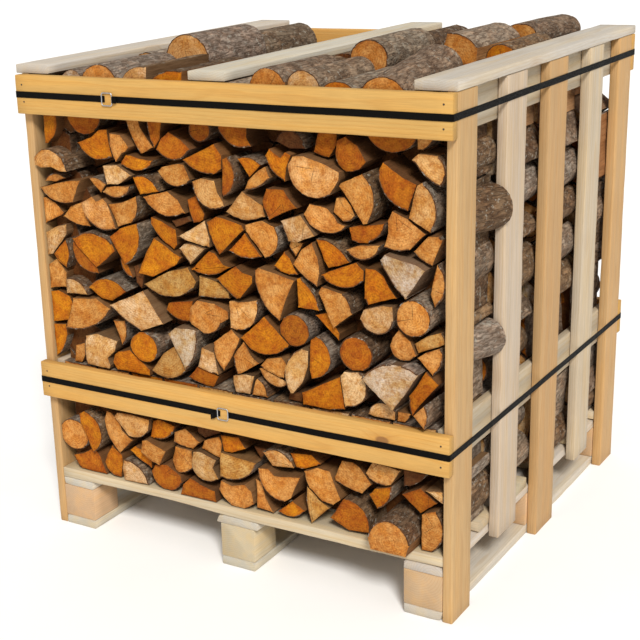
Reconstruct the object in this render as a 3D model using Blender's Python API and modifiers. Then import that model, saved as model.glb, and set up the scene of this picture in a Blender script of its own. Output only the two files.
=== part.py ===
"""A pallet crate of split firewood, in metres, +Z up, its front towards -Y.

The crate is a nailed softwood frame on a nine-block pallet base. Four rows of 25 cm logs stand one behind
the other in it, ends to the front, with loose logs heaped on top and two bands strapped round the outside.
"""

import math
import random

import bmesh
import bpy
from mathutils import Vector

CM = 0.01
GAP = 0.0004

# The crate: outer width over the corner posts, outer depth over the front and rear rails
CRATE_WIDTH = 1.07
CRATE_DEPTH = 1.08
FRAME_TOP = 1.114
HALF_WIDTH = CRATE_WIDTH / 2
HALF_DEPTH = CRATE_DEPTH / 2
BOARD_EDGE = 0.0015

# Boards
UPRIGHT_THICK = 0.023
RAIL_THICK = 0.022
RAIL_TALL = 0.088
SIDE_RAIL_THICK = 0.020
MIDDLE_RAIL_TOP = 0.431
TOP_BOARD_THICK = 0.020
POST_WIDE = 0.093

# Pallet base, from the floor up
SKID_TALL = 0.022
BLOCK_TOP = 0.105
STRINGER_TOP = 0.125
DECK_TOP = 0.150
BLOCK_WIDE = 0.090
BLOCK_LONG = 0.095
STRINGER_WIDE = 0.111
SLAT_FOOT = 0.095

# Straps and their wire buckles
STRAP_TALL = 0.014
STRAP_THICK = 0.0009
STRAP_HEIGHTS = {"top": 1.070, "middle": 0.388}
BUCKLE_SIZE = 0.030
BUCKLE_WIRE = 0.0028

# Firewood: each row is a bank of logs, 25 cm long, on a core that fills the hidden middle
LOG_LONG = 0.250
ROW_PITCH = 0.259
ROW_FRONT = -HALF_DEPTH + 0.030
CORE_RECESS = 0.035
LOG_SPACING = 0.0015
LEAST_AREA = 0.0006
END_GROWTH = 0.0045
FRONT_DETAIL = 0.0135
ROW_DETAIL = 0.017
STACK_SIDE = HALF_WIDTH - UPRIGHT_THICK - 0.001
STACK_SIDE_AT_RAILS = STACK_SIDE - SIDE_RAIL_THICK - 0.001
STACK_FLOOR = DECK_TOP + 0.002
STACK_CEILING = 1.080
CORE_INSET = 0.005

# The front logs are placed in centimetres from a point 52.3 cm left of the crate's middle, at floor level
FRONT_DATUM = 52.3

YELLOW_PINE = (0.72, 0.46, 0.16)
PALE_PINE = (0.71, 0.64, 0.50)
POST_PINE = (0.66, 0.43, 0.19)
LOG_WOOD = (0.62, 0.33, 0.11)
STRAP_BLACK = (0.012, 0.010, 0.009)
STEEL = (0.55, 0.56, 0.58)

DECK_BOARDS = 6
SIDE_RAIL_SETBACK = 0.012
LAST_ROW = 3
SEEDS = (0, 11, 23, 37)
SPLIT_KINDS = ("half", "half", "quarter", "quarter", "round")
SPLIT_COLUMNS = 10
SPLIT_LEVELS = 10
TRUNK_SIDES = 10
SIDE_BARK_SHARE = 0.7
LOW_CORNER_X = 0.45
LOW_CORNER_TOP = 0.955
BUCKLE_X = {"top": -0.273, "middle": -0.008}
TOP_BOARD_SPANS = (
    ("left", -HALF_WIDTH - 0.014, -HALF_WIDTH + 0.080),
    ("middle", -0.075, 0.018),
    ("right", HALF_WIDTH - 0.091, HALF_WIDTH),
)

# Uprights of one side: name, start and end behind the front rail, foot, wood
UPRIGHTS = (
    ("corner_post_front", 0.0, POST_WIDE, 0.0, "post"),
    ("slat_front", 0.243, 0.347, SLAT_FOOT, "pale"),
    ("middle_post", 0.478, 0.588, 0.0, "post"),
    ("slat_rear", 0.733, 0.828, SLAT_FOOT, "pale"),
    ("corner_post_rear", 1.0352 - POST_WIDE, 1.0352, 0.0, "post"),
)

# The ends of the front row, seen from the front: how far the end stands out, the bulge of its bark side as
# a part of that side's length, and its corners (x, z) anticlockwise, with the bark between the first two
FRONT_LOGS = (
    # The lower opening, left to right
    (0.5, 0.43, (1.0, 24.4), (9.6, 24.4)),
    (1.5, 0.36, (11.6, 21.5), (10.0, 31.3), (8.5, 30.5), (8.7, 28.5), (9.8, 25.5)),
    (0.0, 0.08, (4.6, 18.3), (6.5, 15.6), (13.8, 15.6), (12.2, 19.6), (10.8, 21.2), (7.5, 19.2)),
    (0.5, 0.12, (15.4, 30.0), (19.1, 22.4), (22.6, 26.0), (20.0, 27.8), (18.6, 31.3), (16.2, 32.0)),
    (1.0, 0.40, (18.9, 31.4), (28.8, 31.4), (28.6, 32.3), (24.0, 32.6), (19.6, 32.4)),
    (0.0, 0.22, (28.4, 28.2), (35.0, 31.4), (31.0, 32.3), (29.2, 31.6)),
    (-0.5, 0.04, (21.9, 22.9), (27.4, 19.9), (27.6, 22.4), (23.2, 23.8)),
    (1.5, 0.04, (26.5, 24.2), (31.3, 22.1), (33.1, 25.5), (28.2, 27.2), (27.1, 26.8)),
    (0.0, 0.22, (14.3, 18.5), (18.6, 15.8), (19.3, 19.0), (19.0, 21.4), (16.7, 23.0), (15.1, 20.5)),
    (0.5, 0.22, (26.8, 15.5), (20.5, 20.2), (19.9, 18.5), (20.4, 15.5)),
    (0.5, 0.38, (28.5, 19.2), (36.6, 18.0), (36.2, 19.8), (33.0, 21.6), (29.6, 21.0)),
    (0.0, 0.12, (35.6, 20.6), (40.0, 22.5), (39.9, 26.3), (35.6, 26.4), (34.7, 23.0)),
    (0.0, 0.05, (35.2, 28.0), (40.2, 27.3), (42.0, 28.9), (38.4, 31.3), (35.6, 30.1)),
    (0.0, 0.03, (43.2, 27.6), (48.0, 26.6), (48.4, 29.0), (47.5, 31.0), (44.0, 29.8)),
    (-1.0, 0.05, (41.6, 31.2), (43.6, 30.3), (47.3, 31.9), (47.0, 33.8), (41.3, 33.8)),
    (0.0, 0.03, (49.0, 28.5), (50.6, 28.2), (54.4, 30.0), (53.0, 31.9), (48.4, 31.6)),
    (1.0, 0.33, (40.6, 24.4), (47.3, 21.4), (46.0, 23.8), (46.9, 25.8), (43.4, 27.0), (41.3, 26.6)),
    (0.5, 0.20, (48.2, 22.2), (57.6, 27.0), (52.0, 27.5), (48.3, 27.7)),
    (1.0, 0.02, (37.2, 15.3), (46.4, 15.3), (46.2, 17.8), (42.5, 18.6), (39.8, 19.6), (38.0, 17.8)),
    (0.5, 0.28, (47.8, 18.6), (56.4, 17.0), (56.0, 19.5), (54.4, 20.9), (51.0, 19.9), (48.3, 20.4)),
    (1.5, 0.30, (59.7, 28.0), (65.5, 20.1), (67.2, 21.3), (69.4, 26.2), (62.8, 25.2)),
    (0.5, 0.25, (67.2, 28.2), (60.0, 30.1), (63.3, 26.0)),
    (0.0, 0.10, (68.0, 28.3), (73.6, 30.0), (71.8, 31.4), (66.8, 30.9)),
    (-1.5, 0.05, (58.0, 28.0), (59.2, 29.9), (56.4, 30.0)),
    (0.0, 0.02, (57.6, 22.5), (57.7, 16.3), (61.5, 15.8), (59.4, 18.8), (58.4, 22.3)),
    (0.0, 0.18, (63.4, 16.4), (69.4, 17.8), (66.8, 19.2)),
    (0.0, 0.04, (70.6, 24.4), (71.6, 15.5), (76.0, 20.1), (73.3, 21.2)),
    (0.5, 0.23, (70.6, 27.8), (77.2, 21.6), (78.8, 22.9), (77.3, 26.6), (76.9, 28.6), (73.0, 28.8)),
    (0.0, 0.03, (77.8, 27.3), (84.0, 25.5), (86.4, 28.0), (84.5, 30.3), (82.1, 31.8), (79.6, 31.6)),
    (0.0, 0.15, (85.3, 29.9), (90.8, 28.9), (93.0, 32.2), (87.0, 32.6)),
    (-0.5, 0.12, (94.1, 29.2), (98.7, 32.4), (94.1, 32.5)),
    (0.0, 0.17, (87.9, 22.8), (91.0, 28.0), (87.5, 26.8), (86.2, 25.3)),
    (-0.5, 0.02, (93.8, 26.8), (97.8, 23.8), (101.0, 26.3), (97.6, 28.8)),
    (0.0, 0.02, (99.2, 29.0), (103.2, 26.9), (103.3, 29.2)),
    (0.0, 0.25, (85.6, 16.6), (80.0, 22.8), (77.9, 19.4), (76.6, 17.8), (81.0, 16.0)),
    (5.0, 0.48, (97.4, 18.2), (88.4, 18.2), (89.0, 15.4), (96.6, 15.4)),
    (0.0, 0.02, (98.6, 15.4), (103.4, 15.4), (103.4, 25.4), (98.6, 23.3)),
    # The upper opening, from the mid rail up to Z 54
    (0.5, 0.10, (11.6, 50.2), (11.6, 43.4), (18.3, 43.4), (17.0, 46.0), (20.0, 48.7), (20.6, 50.2),
     (15.0, 51.2)),
    (0.5, 0.02, (20.6, 43.5), (29.4, 43.5), (29.5, 44.8), (24.2, 48.4), (21.0, 47.6), (18.9, 45.9)),
    (-0.5, 0.02, (6.9, 43.5), (8.4, 43.5), (9.8, 45.8), (9.7, 47.8), (7.6, 47.0)),
    (0.0, 0.10, (0.9, 43.8), (4.9, 49.5), (4.7, 52.0), (0.8, 51.6)),
    (0.0, 0.15, (21.8, 49.9), (22.8, 55.2), (20.0, 55.0)),
    (1.0, 0.46, (25.2, 50.3), (32.5, 50.5)),
    (0.5, 0.20, (30.8, 45.0), (39.4, 46.2), (37.2, 51.3), (34.0, 49.3)),
    (1.0, 0.12, (40.0, 46.8), (43.4, 56.4), (38.0, 56.0), (36.2, 54.4)),
    (0.5, 0.04, (43.9, 48.0), (48.4, 47.0), (47.5, 51.3), (44.9, 51.9)),
    (0.5, 0.13, (48.3, 54.0), (50.3, 48.4), (52.6, 51.8), (54.5, 55.8), (52.6, 57.4)),
    (0.5, 0.12, (53.6, 52.3), (54.1, 47.9), (59.2, 51.0), (57.3, 52.2), (55.7, 55.0)),
    (0.0, 0.12, (60.2, 50.4), (65.2, 48.8), (65.8, 51.5), (64.9, 52.7), (61.5, 51.9)),
    (-0.5, 0.26, (59.5, 49.2), (65.8, 47.0), (65.0, 48.0), (60.5, 49.5)),
    (1.0, 0.25, (70.6, 55.8), (68.0, 45.6), (70.3, 48.5), (72.0, 53.0), (72.0, 55.6)),
    (0.5, 0.04, (70.8, 43.4), (80.2, 44.3), (80.0, 47.5), (79.5, 50.8), (75.0, 48.4), (70.6, 46.0)),
    (1.0, 0.38, (81.1, 45.2), (84.0, 52.9), (81.2, 52.7), (80.2, 51.5), (80.6, 47.8)),
    (2.5, 0.20, (98.2, 55.0), (86.0, 52.4), (92.6, 46.8)),
    (0.0, 0.07, (95.6, 49.3), (96.1, 45.4), (99.0, 49.8), (101.4, 52.7), (99.0, 54.6)),
    (3.4, 0.12, (101.2, 43.5), (101.0, 49.6), (98.2, 46.7)),
    (0.0, 0.36, (92.0, 45.0), (86.2, 44.0), (89.0, 43.4), (91.8, 43.4)),
    (-0.5, 0.05, (93.9, 43.4), (95.1, 45.0), (92.7, 44.9), (92.6, 43.4)),
    (0.0, 0.10, (52.8, 47.0), (53.3, 43.4), (56.4, 43.4), (57.1, 46.0), (58.5, 47.7), (54.0, 47.3)),
    (0.0, 0.12, (61.0, 43.4), (58.8, 47.0), (57.6, 46.0), (57.1, 43.4)),
    (0.0, 0.05, (40.6, 44.8), (46.6, 43.6), (48.0, 46.0), (45.0, 46.8), (42.9, 47.2)),
    (-1.0, 0.02, (66.2, 43.4), (69.4, 43.4), (69.0, 45.5), (66.6, 45.4)),
    # The upper opening, from Z 54 to 66
    (0.0, 0.08, (0.8, 59.6), (1.3, 52.9), (6.0, 54.0), (7.5, 57.6), (6.8, 59.2), (3.5, 60.3)),
    (1.0, 0.14, (6.2, 52.2), (19.4, 58.2), (15.5, 60.0), (8.8, 59.3)),
    (1.5, 0.03, (20.4, 59.4), (28.7, 54.7), (34.6, 57.0), (29.7, 63.6)),
    (0.0, 0.06, (1.1, 66.3), (1.3, 61.3), (6.1, 62.0), (6.4, 65.2), (4.1, 68.0)),
    (0.5, 0.20, (12.8, 61.0), (7.0, 63.8), (7.0, 60.8)),
    (0.5, 0.22, (23.8, 63.0), (13.7, 62.7), (17.0, 60.8), (20.0, 60.6)),
    (-1.0, 0.15, (34.8, 59.6), (41.0, 58.0), (41.5, 62.2), (35.4, 61.0)),
    (0.5, 0.33, (42.0, 58.4), (50.0, 59.1), (52.0, 60.4), (52.0, 61.6), (48.5, 62.8), (44.2, 63.0),
     (42.5, 61.3)),
    (0.5, 0.28, (52.8, 58.4), (59.5, 65.0), (55.0, 64.0), (52.8, 64.3)),
    (0.5, 0.22, (55.4, 56.2), (66.6, 56.0), (67.0, 56.7), (61.6, 61.8)),
    (0.5, 0.50, (65.5, 59.8), (72.0, 59.8)),
    (1.0, 0.40, (73.3, 50.2), (74.3, 59.2), (73.0, 58.2), (72.6, 52.4)),
    (1.0, 0.48, (80.1, 57.0), (87.4, 56.9)),
    (0.5, 0.33, (91.6, 59.6), (96.6, 58.4), (95.5, 61.0), (93.3, 62.9), (92.1, 61.4)),
    (0.0, 0.04, (96.9, 60.6), (97.5, 59.2), (103.2, 61.8), (103.2, 64.0), (99.5, 62.4)),
    (0.0, 0.12, (100.5, 54.9), (102.4, 60.6), (99.5, 59.3), (97.6, 57.8)),
    (-0.5, 0.02, (73.8, 63.5), (78.8, 59.0), (78.8, 60.5), (76.5, 64.2)),
    # The upper opening, from Z 64 to 76
    (0.0, 0.05, (1.2, 74.2), (1.5, 69.5), (3.4, 69.9), (7.2, 74.2), (7.6, 76.8), (5.5, 76.2)),
    (0.5, 0.15, (7.2, 67.2), (7.6, 73.2), (3.9, 69.9), (5.0, 68.2)),
    (1.0, 0.18, (21.6, 73.6), (10.6, 74.1), (12.0, 72.0), (16.4, 68.2), (22.0, 72.4)),
    (0.5, 0.28, (10.0, 73.2), (16.2, 66.7), (16.0, 67.6), (11.3, 71.6)),
    (-0.5, 0.20, (22.8, 70.9), (25.9, 66.3), (24.4, 68.6)),
    (-1.0, 0.02, (26.4, 65.4), (27.6, 64.2), (28.4, 67.0), (27.0, 68.8), (26.0, 68.4)),
    (1.0, 0.20, (25.0, 69.8), (28.7, 79.3), (25.5, 78.4), (21.4, 75.4)),
    (0.5, 0.02, (28.7, 68.0), (33.0, 67.6), (38.0, 70.3), (40.2, 72.8), (38.3, 73.2), (35.8, 74.6),
     (33.2, 75.9),
     (31.2, 72.9)),
    (1.0, 0.03, (40.7, 74.8), (43.0, 72.0), (46.6, 75.3), (44.0, 75.8), (41.7, 75.7)),
    (0.0, 0.10, (43.0, 70.3), (49.8, 70.2), (52.8, 71.7), (50.8, 71.8), (48.5, 74.3), (47.5, 74.5)),
    (1.0, 0.03, (50.1, 69.0), (55.2, 65.2), (58.6, 69.2), (58.6, 70.4), (56.3, 71.0), (54.7, 72.0)),
    (0.0, 0.03, (44.6, 64.5), (52.0, 64.9), (52.0, 66.0), (49.8, 67.6), (44.9, 68.6)),
    (0.5, 0.18, (30.0, 65.4), (42.8, 66.2), (43.6, 67.6), (41.8, 70.3), (38.0, 69.4), (34.0, 67.9)),
    (1.0, 0.15, (59.9, 72.0), (65.3, 62.0), (66.6, 66.0), (69.0, 70.9), (63.5, 72.1), (60.8, 72.7)),
    (0.0, 0.13, (64.2, 73.4), (69.3, 72.3), (67.8, 75.0), (66.5, 76.2)),
    (0.5, 0.04, (69.2, 74.3), (74.3, 70.7), (74.8, 73.0), (74.5, 76.0), (73.4, 79.0), (71.3, 77.6)),
    (-0.5, 0.04, (67.8, 77.8), (68.9, 76.3), (70.8, 78.9), (68.2, 78.9)),
    (0.5, 0.22, (76.0, 72.8), (85.0, 72.8), (85.3, 74.5), (83.4, 76.1), (79.5, 74.6)),
    (2.0, 0.07, (90.2, 77.8), (95.4, 70.9), (99.2, 76.6), (97.6, 77.4), (91.0, 78.7)),
    (0.5, 0.04, (85.7, 69.4), (86.5, 68.2), (92.5, 70.0), (90.9, 71.8), (89.5, 74.0), (88.0, 75.0),
     (86.0, 75.0)),
    (0.0, 0.03, (101.2, 69.2), (103.3, 70.7), (103.3, 78.4), (101.6, 77.6), (100.3, 71.6)),
    (1.0, 0.12, (82.6, 65.6), (80.5, 69.2), (75.9, 69.9), (75.4, 69.0), (78.5, 62.2)),
    (0.5, 0.12, (74.6, 65.3), (70.6, 71.2), (70.0, 71.0), (70.0, 65.3)),
    (0.5, 0.40, (84.8, 64.5), (91.7, 65.0), (91.5, 67.7), (89.5, 67.6), (85.6, 66.2)),
    (1.5, 0.50, (93.4, 66.4), (100.4, 66.6)),
    # The upper opening, from Z 76 to 88
    (0.0, 0.08, (0.8, 82.2), (1.4, 77.0), (6.8, 79.6), (4.8, 81.5), (2.2, 82.6)),
    (-0.5, 0.07, (6.7, 78.9), (14.2, 77.2), (13.2, 80.0), (12.0, 82.0), (8.6, 81.0)),
    (0.5, 0.16, (14.1, 79.8), (22.3, 77.6), (20.6, 82.6), (19.6, 83.9), (17.4, 83.0), (16.3, 84.0),
     (13.5, 82.6)),
    (0.5, 0.25, (23.3, 78.0), (28.6, 85.0), (24.8, 83.3), (21.4, 82.6)),
    (0.5, 0.23, (20.0, 85.7), (27.4, 87.6), (23.5, 87.0), (20.9, 86.6)),
    (0.0, 0.12, (20.0, 87.3), (15.5, 88.3), (18.6, 85.6)),
    (1.0, 0.05, (20.8, 91.5), (21.5, 87.9), (24.5, 88.1), (28.2, 90.0), (24.4, 92.0)),
    (0.5, 0.20, (35.0, 87.2), (28.8, 89.5), (30.3, 86.2)),
    (0.5, 0.20, (31.3, 85.3), (41.3, 82.9), (39.8, 85.2), (37.3, 86.8), (34.5, 86.2)),
    (0.0, 0.06, (32.4, 79.4), (37.9, 74.4), (38.8, 75.5), (38.5, 78.5), (35.0, 80.0), (32.6, 80.5)),
    (-0.5, 0.02, (38.8, 79.5), (42.4, 80.9), (41.7, 81.4), (38.0, 80.4)),
    (-0.5, 0.06, (42.4, 85.3), (43.6, 81.0), (45.6, 81.3), (46.0, 82.6), (44.2, 86.2)),
    (0.5, 0.04, (39.9, 77.4), (47.6, 76.2), (47.8, 77.7), (46.8, 81.6), (44.2, 79.6)),
    (0.5, 0.06, (47.9, 81.3), (50.5, 74.9), (53.0, 77.3), (56.5, 80.5), (56.2, 81.1), (52.0, 82.2),
     (50.0, 82.5)),
    (0.5, 0.10, (53.4, 75.7), (60.8, 75.2), (57.2, 79.2)),
    (0.5, 0.27, (62.2, 75.3), (64.4, 81.5), (61.6, 82.5), (57.7, 81.3), (57.8, 80.4)),
    (1.0, 0.32, (45.0, 89.8), (52.4, 85.5), (50.7, 88.0), (50.1, 90.4), (47.0, 90.6)),
    (1.0, 0.03, (66.9, 83.2), (68.4, 79.6), (70.2, 79.7), (74.0, 81.2), (71.2, 84.8), (69.0, 84.0)),
    (0.5, 0.05, (62.1, 87.0), (63.5, 83.8), (66.5, 85.2), (69.9, 86.4), (67.8, 88.4), (66.9, 89.6),
     (63.1, 89.6)),
    (0.0, 0.12, (52.6, 84.0), (61.7, 83.9), (61.4, 85.8), (56.6, 88.3)),
    (0.5, 0.25, (72.0, 85.2), (81.4, 83.6), (79.5, 84.0), (77.8, 86.5), (73.4, 87.2)),
    (0.5, 0.30, (78.9, 86.4), (83.2, 85.9), (82.5, 87.7), (81.2, 89.2), (79.7, 89.0)),
    (0.0, 0.15, (81.6, 76.0), (74.5, 80.0), (76.4, 75.8), (77.2, 74.8), (79.5, 75.4)),
    (0.5, 0.30, (81.8, 78.7), (88.9, 80.3), (85.0, 79.8)),
    (0.0, 0.22, (82.8, 80.9), (89.8, 84.7), (86.0, 83.6), (82.3, 83.6)),
    (0.5, 0.10, (90.4, 80.4), (95.4, 80.5), (98.6, 83.6), (95.0, 86.0), (92.0, 87.2), (91.1, 85.5),
     (91.3, 83.0)),
    (0.0, 0.08, (96.6, 79.8), (100.1, 77.8), (102.5, 83.3), (99.5, 83.0)),
    # The upper opening, from Z 88 up to the top rail
    (0.0, 0.18, (8.6, 88.0), (2.5, 86.9), (5.6, 87.2)),
    (1.0, 0.15, (1.8, 85.4), (10.8, 82.9), (13.5, 87.8), (9.5, 87.2)),
    (2.0, 0.38, (10.4, 90.2), (0.9, 91.3), (3.2, 90.5), (6.2, 90.9), (8.8, 90.1)),
    (0.5, 0.20, (13.8, 96.3), (22.5, 94.0), (22.0, 97.0), (21.7, 99.5), (19.9, 99.4), (17.5, 97.7)),
    (1.0, 0.10, (23.3, 98.8), (24.4, 93.3), (26.0, 95.2), (28.0, 96.0), (25.8, 98.6)),
    (0.5, 0.20, (25.8, 92.5), (34.2, 93.8), (30.4, 93.6), (26.6, 94.4)),
    (0.5, 0.27, (35.7, 91.5), (43.4, 90.2), (42.0, 93.1), (41.0, 93.2), (36.7, 92.3)),
    (1.0, 0.11, (42.8, 94.5), (50.0, 92.3), (51.9, 93.6), (52.0, 95.8), (50.3, 97.9)),
    (1.0, 0.28, (52.3, 87.5), (53.7, 95.5), (52.7, 95.0), (52.5, 90.5)),
    (0.0, 0.13, (61.2, 94.5), (56.2, 95.5), (58.8, 92.2)),
    (0.5, 0.09, (57.8, 89.3), (63.5, 92.2), (62.7, 94.0), (60.8, 93.2), (58.8, 91.4)),
    (0.5, 0.12, (63.2, 96.6), (67.4, 92.0), (67.6, 94.5), (68.6, 97.0), (67.8, 97.3), (66.5, 96.0),
     (64.0, 97.7)),
    (2.0, 0.40, (69.4, 95.4), (80.4, 92.5), (80.6, 94.6), (77.8, 95.8), (72.8, 97.2), (70.6, 97.0)),
    (1.0, 0.22, (86.1, 84.6), (85.6, 94.4), (80.6, 92.0)),
    (0.5, 0.20, (89.2, 95.4), (95.2, 88.2), (96.8, 93.0), (94.0, 94.2), (90.0, 96.7)),
    (1.0, 0.20, (100.3, 84.6), (98.6, 93.5), (97.6, 92.9), (96.0, 86.8)),
    (0.5, 0.08, (96.6, 98.0), (103.3, 93.0), (103.3, 98.8), (97.6, 99.0)),
    (0.5, 0.32, (79.7, 98.0), (84.4, 95.6), (85.7, 97.0), (84.0, 100.0), (81.5, 101.4), (80.0, 100.6)),
    (0.0, 0.10, (1.4, 101.5), (1.4, 95.8), (4.0, 96.0), (6.0, 97.8), (6.9, 100.0), (6.9, 102.5)),
    (-1.0, 0.42, (9.8, 102.2), (19.0, 102.2), (19.0, 106.5), (9.8, 106.5)),
    (-0.5, 0.05, (26.9, 101.8), (30.3, 95.0), (33.0, 96.5), (30.0, 100.5), (29.5, 102.5)),
    (-0.5, 0.07, (32.6, 102.8), (34.0, 96.8), (35.2, 98.4), (36.0, 103.0)),
    (0.0, 0.26, (35.3, 96.2), (43.3, 96.6), (41.5, 98.3), (38.4, 100.0), (36.5, 98.5)),
    (-1.0, 0.48, (43.2, 101.0), (48.4, 101.0)),
    (-0.5, 0.22, (51.0, 102.0), (58.4, 98.4), (57.5, 100.0), (57.8, 105.0), (51.0, 105.0)),
    (-0.5, 0.40, (71.5, 98.8), (65.2, 99.8), (68.4, 98.6)),
    (-0.5, 0.05, (74.2, 98.2), (77.2, 97.4), (78.8, 100.0), (78.8, 104.0), (75.6, 104.0)),
    (-0.5, 0.30, (86.0, 102.4), (96.6, 102.4), (96.6, 106.0), (86.0, 106.0)),
)

# Ends behind the rails and along the top of the front row, in the same centimetres
HIDDEN_FRONT_LOGS = (
    (-0.5, 0.05, (3.5, 103.3), (9.3, 103.3), (9.3, 110.2), (3.5, 110.2)),
    (0.0, 0.30, (15.4, 110.6), (10.0, 110.6), (10.0, 107.0), (15.2, 107.0)),
    (0.0, 0.38, (25.4, 109.8), (15.2, 109.8), (17.0, 107.0), (24.6, 107.0)),
    (0.0, 0.20, (33.0, 113.4), (25.8, 108.6), (26.2, 106.2), (33.0, 103.8)),
    (0.0, 0.12, (42.4, 112.8), (34.2, 110.4), (34.2, 104.0), (42.4, 103.4)),
    (0.0, 0.05, (43.4, 104.0), (50.4, 104.6), (50.4, 110.8), (43.4, 110.8)),
    (0.0, 0.10, (58.4, 110.0), (51.4, 110.4), (51.4, 105.6), (58.4, 105.6)),
    (0.0, 0.50, (67.8, 110.0), (59.4, 110.0), (60.4, 104.6), (67.2, 104.6)),
    (0.0, 0.50, (75.6, 110.4), (68.4, 110.4), (69.0, 103.4), (73.6, 103.4)),
    (0.0, 0.20, (83.2, 110.8), (76.6, 110.8), (79.4, 102.6), (83.2, 102.6)),
    (0.0, 0.05, (97.0, 100.4), (100.8, 100.4), (100.8, 110.2), (96.6, 110.2)),
)
RAIL_BAND_LOGS = 10
RAIL_BAND = (34.2, 42.8)
RAIL_BAND_SPAN = (3.6, 100.8)

# Loose logs on top, in metres and degrees: middle of the log's underside (x, y, z), width, height, turn
# about Z, rise towards its rear end, shape
TOP_LOGS = (
    (-0.380, -0.124, 1.092, 0.092, 0.048, 1, 0, "wedge"),
    (-0.262, -0.124, 1.092, 0.116, 0.088, -1, 0, "half"),
    (-0.352, 0.135, 1.092, 0.070, 0.052, 1, 0, "wedge"),
    (-0.258, 0.135, 1.092, 0.104, 0.066, -1, 0, "half"),
    (0.206, -0.124, 1.092, 0.094, 0.086, 1, 0, "round"),
    (0.378, -0.384, 1.099, 0.112, 0.058, -1, 8, "half"),
    (0.202, 0.135, 1.092, 0.060, 0.084, 1, 0, "wedge"),
    (0.300, 0.135, 1.092, 0.098, 0.090, -1, 0, "wedge"),
    (0.398, 0.135, 1.092, 0.076, 0.052, 1, 0, "half"),
    (0.352, 0.390, 1.092, 0.096, 0.072, -4, 0, "round"),
)

# Round logs that lean out between the front right post and slat: height of the middle, radius, how far
# the rear end stands out past the crate's side
LEANING_LOGS = (
    (0.848, 0.052, 0.022),
    (0.566, 0.044, 0.014),
)
LEAN = 0.33
LEANING_LOG_SIDES = 8
LEANING_LOG_LONG = 0.140

materials = {}


def clear_scene():
    for obj in list(bpy.data.objects):
        bpy.data.objects.remove(obj, do_unlink=True)


def material(name, colour, roughness, metallic=0.0):
    made = bpy.data.materials.new(name)
    made.use_nodes = True
    shader = made.node_tree.nodes["Principled BSDF"]
    shader.inputs["Base Color"].default_value = (*colour, 1.0)
    shader.inputs["Roughness"].default_value = roughness
    shader.inputs["Metallic"].default_value = metallic
    return made


def mesh_object(name, shape, skin, where):
    """An object of this bmesh in the collection where; the bmesh is freed."""
    mesh = bpy.data.meshes.new(name)
    shape.to_mesh(mesh)
    shape.free()
    obj = bpy.data.objects.new(name, mesh)
    obj.data.materials.append(skin)
    where.objects.link(obj)
    return obj


def board(name, low, high, skin, edge=BOARD_EDGE):
    """A sawn board that fills the box from low to high, its long edges eased."""
    shape = bmesh.new()
    bmesh.ops.create_cube(shape, size=1.0)
    size = Vector(high) - Vector(low)
    bmesh.ops.scale(shape, vec=size, verts=shape.verts)
    obj = mesh_object(name, shape, skin, crate)
    obj.location = (Vector(low) + Vector(high)) / 2
    if edge:
        long_axis = max(range(3), key=lambda axis: size[axis])
        weights = obj.data.attributes.new("bevel_weight_edge", "FLOAT", "EDGE")
        for line in obj.data.edges:
            along = obj.data.vertices[line.vertices[0]].co - obj.data.vertices[line.vertices[1]].co
            weights.data[line.index].value = float(abs(along[long_axis]) > size[long_axis] / 2)
        bevel = obj.modifiers.new("eased edges", "BEVEL")
        bevel.width = edge
        bevel.segments = 1
        bevel.limit_method = "WEIGHT"
    return obj


def pallet_base():
    columns = {"left": -1, "middle": 0, "right": 1}
    places = {"front": -1, "centre": 0, "rear": 1}
    column_x = HALF_WIDTH - UPRIGHT_THICK - GAP - BLOCK_WIDE / 2
    block_y = HALF_DEPTH - RAIL_THICK - GAP - BLOCK_LONG / 2
    deck_y = HALF_DEPTH - RAIL_THICK - GAP
    for side, turn in columns.items():
        x = turn * column_x
        half = BLOCK_WIDE / 2
        board(
            f"skid_{side}",
            (x - half, -deck_y, 0),
            (x + half, deck_y, SKID_TALL),
            materials["pale"],
            edge=0.0,
        )
        for place, step in places.items():
            y = step * block_y
            board(
                f"block_{place}_{side}",
                (x - half, y - BLOCK_LONG / 2, SKID_TALL + GAP),
                (x + half, y + BLOCK_LONG / 2, BLOCK_TOP - GAP),
                materials["pale"],
            )
        wide = STRINGER_WIDE / 2 if turn == 0 else half
        board(
            f"stringer_{side}",
            (x - wide, -deck_y, BLOCK_TOP),
            (x + wide, deck_y, STRINGER_TOP - GAP),
            materials["pale"],
            edge=0.004,
        )
    inner = HALF_WIDTH - UPRIGHT_THICK - GAP
    pitch = (2 * deck_y - POST_WIDE) / (DECK_BOARDS - 1)
    for number in range(DECK_BOARDS):
        y = -deck_y + number * pitch
        board(
            f"deck_board_{number + 1}",
            (-inner, y, STRINGER_TOP),
            (inner, y + POST_WIDE, DECK_TOP),
            materials["pale"],
            edge=0.003,
        )


def side_frames():
    """Five uprights and two inner rails on each side; the corner and middle ones reach the floor."""
    front = -HALF_DEPTH + RAIL_THICK + GAP
    for side, turn in (("left", -1), ("right", 1)):
        outer = turn * HALF_WIDTH
        inner = turn * (HALF_WIDTH - UPRIGHT_THICK)
        rail_inner = turn * (HALF_WIDTH - UPRIGHT_THICK - SIDE_RAIL_THICK)
        rail_outer = inner - turn * GAP
        for name, start, end, foot, skin in UPRIGHTS:
            board(
                f"{name}_{side}",
                (min(outer, inner), front + start, foot),
                (max(outer, inner), front + end, FRAME_TOP),
                materials[skin],
            )
        for level, top in (("top", FRAME_TOP), ("middle", MIDDLE_RAIL_TOP)):
            board(
                f"side_rail_{level}_{side}",
                (min(rail_inner, rail_outer), front + SIDE_RAIL_SETBACK, top - RAIL_TALL),
                (max(rail_inner, rail_outer), -front - SIDE_RAIL_SETBACK, top),
                materials["pale"],
            )


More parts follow.
